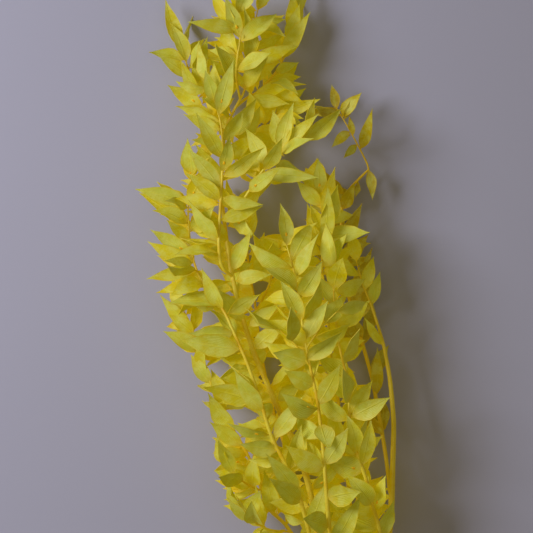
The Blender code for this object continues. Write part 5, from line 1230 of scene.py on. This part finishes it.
inner_left_blades = [
    (44.6, -194.9, 36.4, 54, -27, -44, 45, 21.5, 10, 25, 6, 8),
    (39.5, -177.2, 30.9, 151, -19, 40, 53, 21.6, 13, 29, -19, 8),
    (35, -158.9, 26.8, 32, 2, 15, 50.1, 20, 19, -27, 0, 9),
    (30.5, -140.3, 23.7, 152, -19, -14, 46.9, 20.8, 20, -36, 19, 9),
    (25.1, -121.9, 21.6, 91, 42, 41, 50.2, 24.3, 12, -29, -22, 7),
    (13, -85.3, 19.5, 61, 6, 2, 51.9, 22.8, 22, 17, 1, 8),
    (7.1, -67, 19.3, 129, 12, 7, 46, 21.7, 24, -12, 9, 8),
    (2.8, -48.1, 19.3, 43, -16, 26, 54.5, 22.8, 22, 9, 31, 6),
    (-1.3, -29.3, 19.4, 158, 30, -66, 46.9, 19, 9, -35, 11, 7),
    (-4.7, -10.3, 19.9, 52, -20, 44, 50.4, 22.6, 24, 2, -35, 8),
    (-7.6, 8.8, 20.4, 144, 39, -11, 42.7, 22.6, 14, -33, 4, 5),
    (-9.8, 28, 20.9, 48, 10, 28, 53.9, 19.6, 23, -13, 2, 8),
    (-12.4, 47.1, 21.5, 131, 21, -42, 53.5, 18.5, 16, -25, 12, 5),
    (-15.5, 66.1, 22.2, 75, -11, 38, 48.5, 21, 22, 27, -12, 8),
    (-17.7, 85.3, 22.3, 130, 8, -59, 48.2, 21, 21, 25, -4, 6),
    (-18.8, 104.5, 22.3, 75, 20, -34, 49.4, 21.2, 19, 13, 1, 5),
    (-16.9, 123.7, 22.3, 122, -20, -44, 44.5, 21.5, 22, 1, -21, 9),
    (-13.2, 142.6, 21.8, 45, 5, -80, 42.5, 20.3, 20, 11, 0, 6),
    (-8.7, 161.4, 21, 97, 16, 46, 50.2, 19.4, 23, -19, -2, 7),
    (-4.2, 180.2, 20.3, 71, -10, 26, 43.6, 17.8, 15, 4, 43, 8),
    (-0.7, 52.2, 34.8, 22, 25, 45, 51, 18.9, 19, -17, -28, 5),
    (3.2, 61.9, 40.1, 116, 22, -15, 46.5, 16.6, 19, -7, 0, 3),
    (6.5, 72.6, 44.2, 26, 49, 51, 49.4, 18.3, 17, -23, -36, 4),
    (9.8, 83.2, 48.3, 100, 58, 18, 51.3, 18.3, 10, 28, -21, 2),
    (13.8, 94.2, 50.3, 39, 31, -28, 52.7, 18.6, 21, -8, 6, 4),
    (32.1, -88.4, 42.5, 54, -2, -28, 48.3, 22.3, 20, -31, 9, 7),
    (37.8, -78, 51.8, 68, 15, -6, 45.6, 20.7, 13, -37, -1, 7),
    (43.2, -67.1, 60.7, 24, 46, -48, 41.6, 18.2, 10, -25, 6, 4),
    (47.8, -54.8, 68.3, 106, 17, -9, 44, 18.3, 20, -34, -24, 4),
    (3.6, -43, 18.2, 38, -28, 43, 36.5, 15.3, 4, 24, -15, 8),
    (40.6, -70, 58.1, 153, -10, -41, 43.7, 16.6, 4, -4, 13, 5),
    (43, -180.8, 33.3, 22, 26, 67, 34.7, 16.7, 6, 8, -23, 8),
    (17.3, 100.5, 51.1, -13, -21, -21, 43.5, 16.3, 9, 18, -30, 8),
    (-9.9, 10.9, 20.2, 178, -8, 22, 40.8, 17.5, 8, -43, 18, 7),
    (31, -91.4, 37.6, 31, -20, -28, 39.9, 16.4, 8, 14, 0, 8),
    (-16.8, 90.9, 21.9, 32, -13, 42, 46.8, 23.3, 6, 15, -32, 7),
    (-14.1, 66.8, 23.1, 20, 30, -14, 35.1, 13.6, 11, -25, -34, 8),
    (8.9, -66, 19.8, 45, 13, 51, 35.5, 17.3, 7, -45, 34, 8),
    (0.2, 50.6, 34.6, -20, 20, 16, 36.7, 15.3, 4, -13, -5, 6),
    (29, -127.6, 23.7, 24, 33, 55, 45.2, 17.5, 9, -46, 22, 7),
    (-18.3, 74.4, 22.6, 171, 8, -64, 46.4, 19.3, 4, -44, 34, 8),
    (7.3, 79.6, 47, 140, 18, 44, 42.9, 19.3, 11, 34, -6, 4),
    (-3.5, -28.7, 18.6, 180, -22, 5, 33.3, 16.2, 11, 0, -34, 8),
    (5.9, -51.1, 19.3, 24, 0, 20, 33.2, 15.5, 4, -41, 20, 6),
    (27.3, -136.2, 24.9, 184, 40, 18, 38.2, 16.2, 8, -42, -2, 9),
    (-8.3, 3.2, 18.8, 167, -42, -25, 34.6, 13.6, 13, 27, 6, 8),
    (-9.8, 161.6, 21.4, 148, 16, -72, 39.7, 18.1, 7, -39, -6, 6),
    (-2.6, -12.4, 20.9, 17, 33, 58, 45.2, 21, 6, -44, 6, 6),
    (-7, 19.8, 20.8, 31, 4, 19, 45.4, 20.2, 6, 9, -17, 8),
    (-7.4, -5, 18.9, 180, -31, -56, 40.7, 19.9, 5, 39, -12, 9),
    (-18.4, 122.4, 22.7, 161, 17, -15, 29.4, 11.4, 11, 20, 6, 9),
    (5.5, 64.8, 40.5, 16, -19, -3, 32.2, 14.2, 9, -2, -3, 7),
    (12.2, 86.2, 48.6, 11, -8, -37, 35.5, 16.8, 13, -4, -14, 8),
    (-5, -20.5, 19.4, 172, -4, -15, 40.8, 19.6, 14, -23, -17, 9),
    (-12.4, 35, 21.7, 168, 16, -13, 45.4, 19.8, 4, 14, 25, 8),
    (-16, 58.6, 22, 172, 3, -60, 33.8, 15.4, 5, -48, 30, 7),
    (-5.2, 3.8, 21.1, 29, 26, -24, 35.2, 14.2, 6, -16, -31, 5),
    (-7.5, -4.7, 20.7, 172, 19, 8, 40.3, 17.5, 4, -25, 23, 6),
    (3.2, -59.6, 19.6, 174, 7, 24, 46.7, 17.3, 10, -8, 8, 9),
    (-9.8, 43.2, 21, 20, -10, -8, 30.5, 14.7, 10, -6, -29, 6),
    (31.9, -85.9, 43.2, 125, -10, 9, 45.6, 21.7, 13, 11, 12, 6),
    (45.9, -57.3, 65.7, 152, -43, 17, 42.5, 18.4, 12, 14, 34, 6),
    (12.8, 93.9, 51.1, 143, 45, -7, 30, 14.9, 8, -13, 0, 2),
    (7.5, -75.4, 20.5, 182, 29, 74, 37.9, 15.7, 11, -35, -29, 8),
    (-5.9, 177.3, 20.5, 135, 0, 41, 45.9, 18.2, 6, 44, 4, 8),
    (9.6, 78.7, 45.6, -1, -38, -22, 32.7, 12.5, 8, 28, -12, 7),
    (6.8, 72.7, 42.9, 61, -35, 7, 45.3, 20.3, 10, -29, -1, 9),
    (5.6, -67.3, 20.9, 168, 44, 13, 32, 14.6, 9, -25, 12, 6),
    (37, -164.9, 30.1, 84, 48, -16, 45.6, 16.8, 13, 11, -33, 7),
    (-15.9, 58.4, 21.2, 179, -24, -39, 32.7, 14.6, 4, 16, 20, 9),
    (-7.2, 19.1, 21.9, 14, 37, 54, 41, 18.2, 8, -43, -1, 5),
    (-17.2, 90.6, 23.5, 30, 46, -34, 47, 18.3, 7, -39, 1, 7),
    (3.4, -60.1, 18.4, 185, -22, 12, 32.7, 15.4, 12, 27, 18, 9),
    (-14.6, 51.1, 21, 160, -20, -24, 31.4, 15.1, 10, 44, 0, 6),
    (2.7, 58.1, 37.2, 46, -42, -71, 32.1, 14.1, 6, -14, 4, 7),
    (-18.9, 82.8, 21.9, 155, -12, -65, 46.8, 18, 10, -6, 33, 7),
    (-1.8, -36.7, 20.4, 185, 30, 54, 28.3, 12, 9, 6, -4, 7),
]
stems_piece("inner_left_stem", "inner_left_branch", inner_left_shoots, around=10)
blades_piece("inner_left_blades", "inner_left_branch", inner_left_blades)
bpy.data.objects.remove(master)


# The flower buds: orange beads of 2 to 3 mm, one on the midrib of every ninth blade, near its root.
# They are dry and wrinkled, and each has a small scale at either side.
def bud_finish():
    """Dyed bud: orange, brown in patches, dull, with a faint orange glow of its own, which is painted light."""
    made, tree, shader = new_finish("dyed_bud")
    patches = dye_mask(tree, cloud_scale=400, fleck_scale=1500)
    feed(shader, {
        "Base Color": mixed(tree, patches, (0.90, 0.58, 0.006, 1), (0.76, 0.38, 0.003, 1)),
        "Roughness": 0.6,
        # Painted light: a faint orange glow of the bud's own.
        "Emission Color": (1.0, 0.55, 0.0, 1),
        "Emission Strength": 0.12,
    })
    return made


bpy.ops.mesh.primitive_ico_sphere_add(subdivisions=1, radius=1)
round_bead = bpy.context.active_object
round_bead.name = "round_bead"
round_bead.data.materials.append(bud_finish())
round_bead.data.shade_smooth()
bud_and_scales = (  # place along the blade, mm aside, half width, half height
    (0.29, 0.0, 1.1, 1.0),
    (0.25, 0.6, 0.7, 0.5),
    (0.26, -0.7, 0.8, 0.5),
)
bud_lift = 0.5
length_to_width = 1.3
first_with_bud = 2
blades_per_bud = 9


def bud_on(row):
    """A bud and its two scales on the upper face of a blade, turned with the blade."""
    x, y, z, heading, climb, roll, length, _, _, bow, _, _ = row
    blade = Matrix.Scale(mm, 4) @ Matrix.Translation((x, y, z)) @ turned_by(heading, climb, roll).to_4x4()
    beads = []
    for along, aside, wide, tall in bud_and_scales:
        bend = math.radians(bow) * along or least_bend
        lift = length * along * (1 - math.cos(bend)) / bend + bud_lift
        bead = own_copy(round_bead)
        bead.data.transform(
            blade @ Matrix.Translation((length * along, aside, lift))
            @ Matrix.Diagonal((length_to_width * wide, wide, tall, 1))
        )
        beads.append(bead)
    return beads


for name, rows in (
    ("inner_right_buds", inner_right_blades),
    ("front_right_buds", front_right_blades),
    ("middle_buds", middle_blades),
    ("tall_left_buds", tall_left_blades),
    ("outer_left_buds", outer_left_blades),
    ("lower_left_buds", lower_left_blades),
):
    buds = joined([bead for row in rows[first_with_bud::blades_per_bud] for bead in bud_on(row)], name)
    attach(buds, "root")
bpy.data.objects.remove(round_bead)
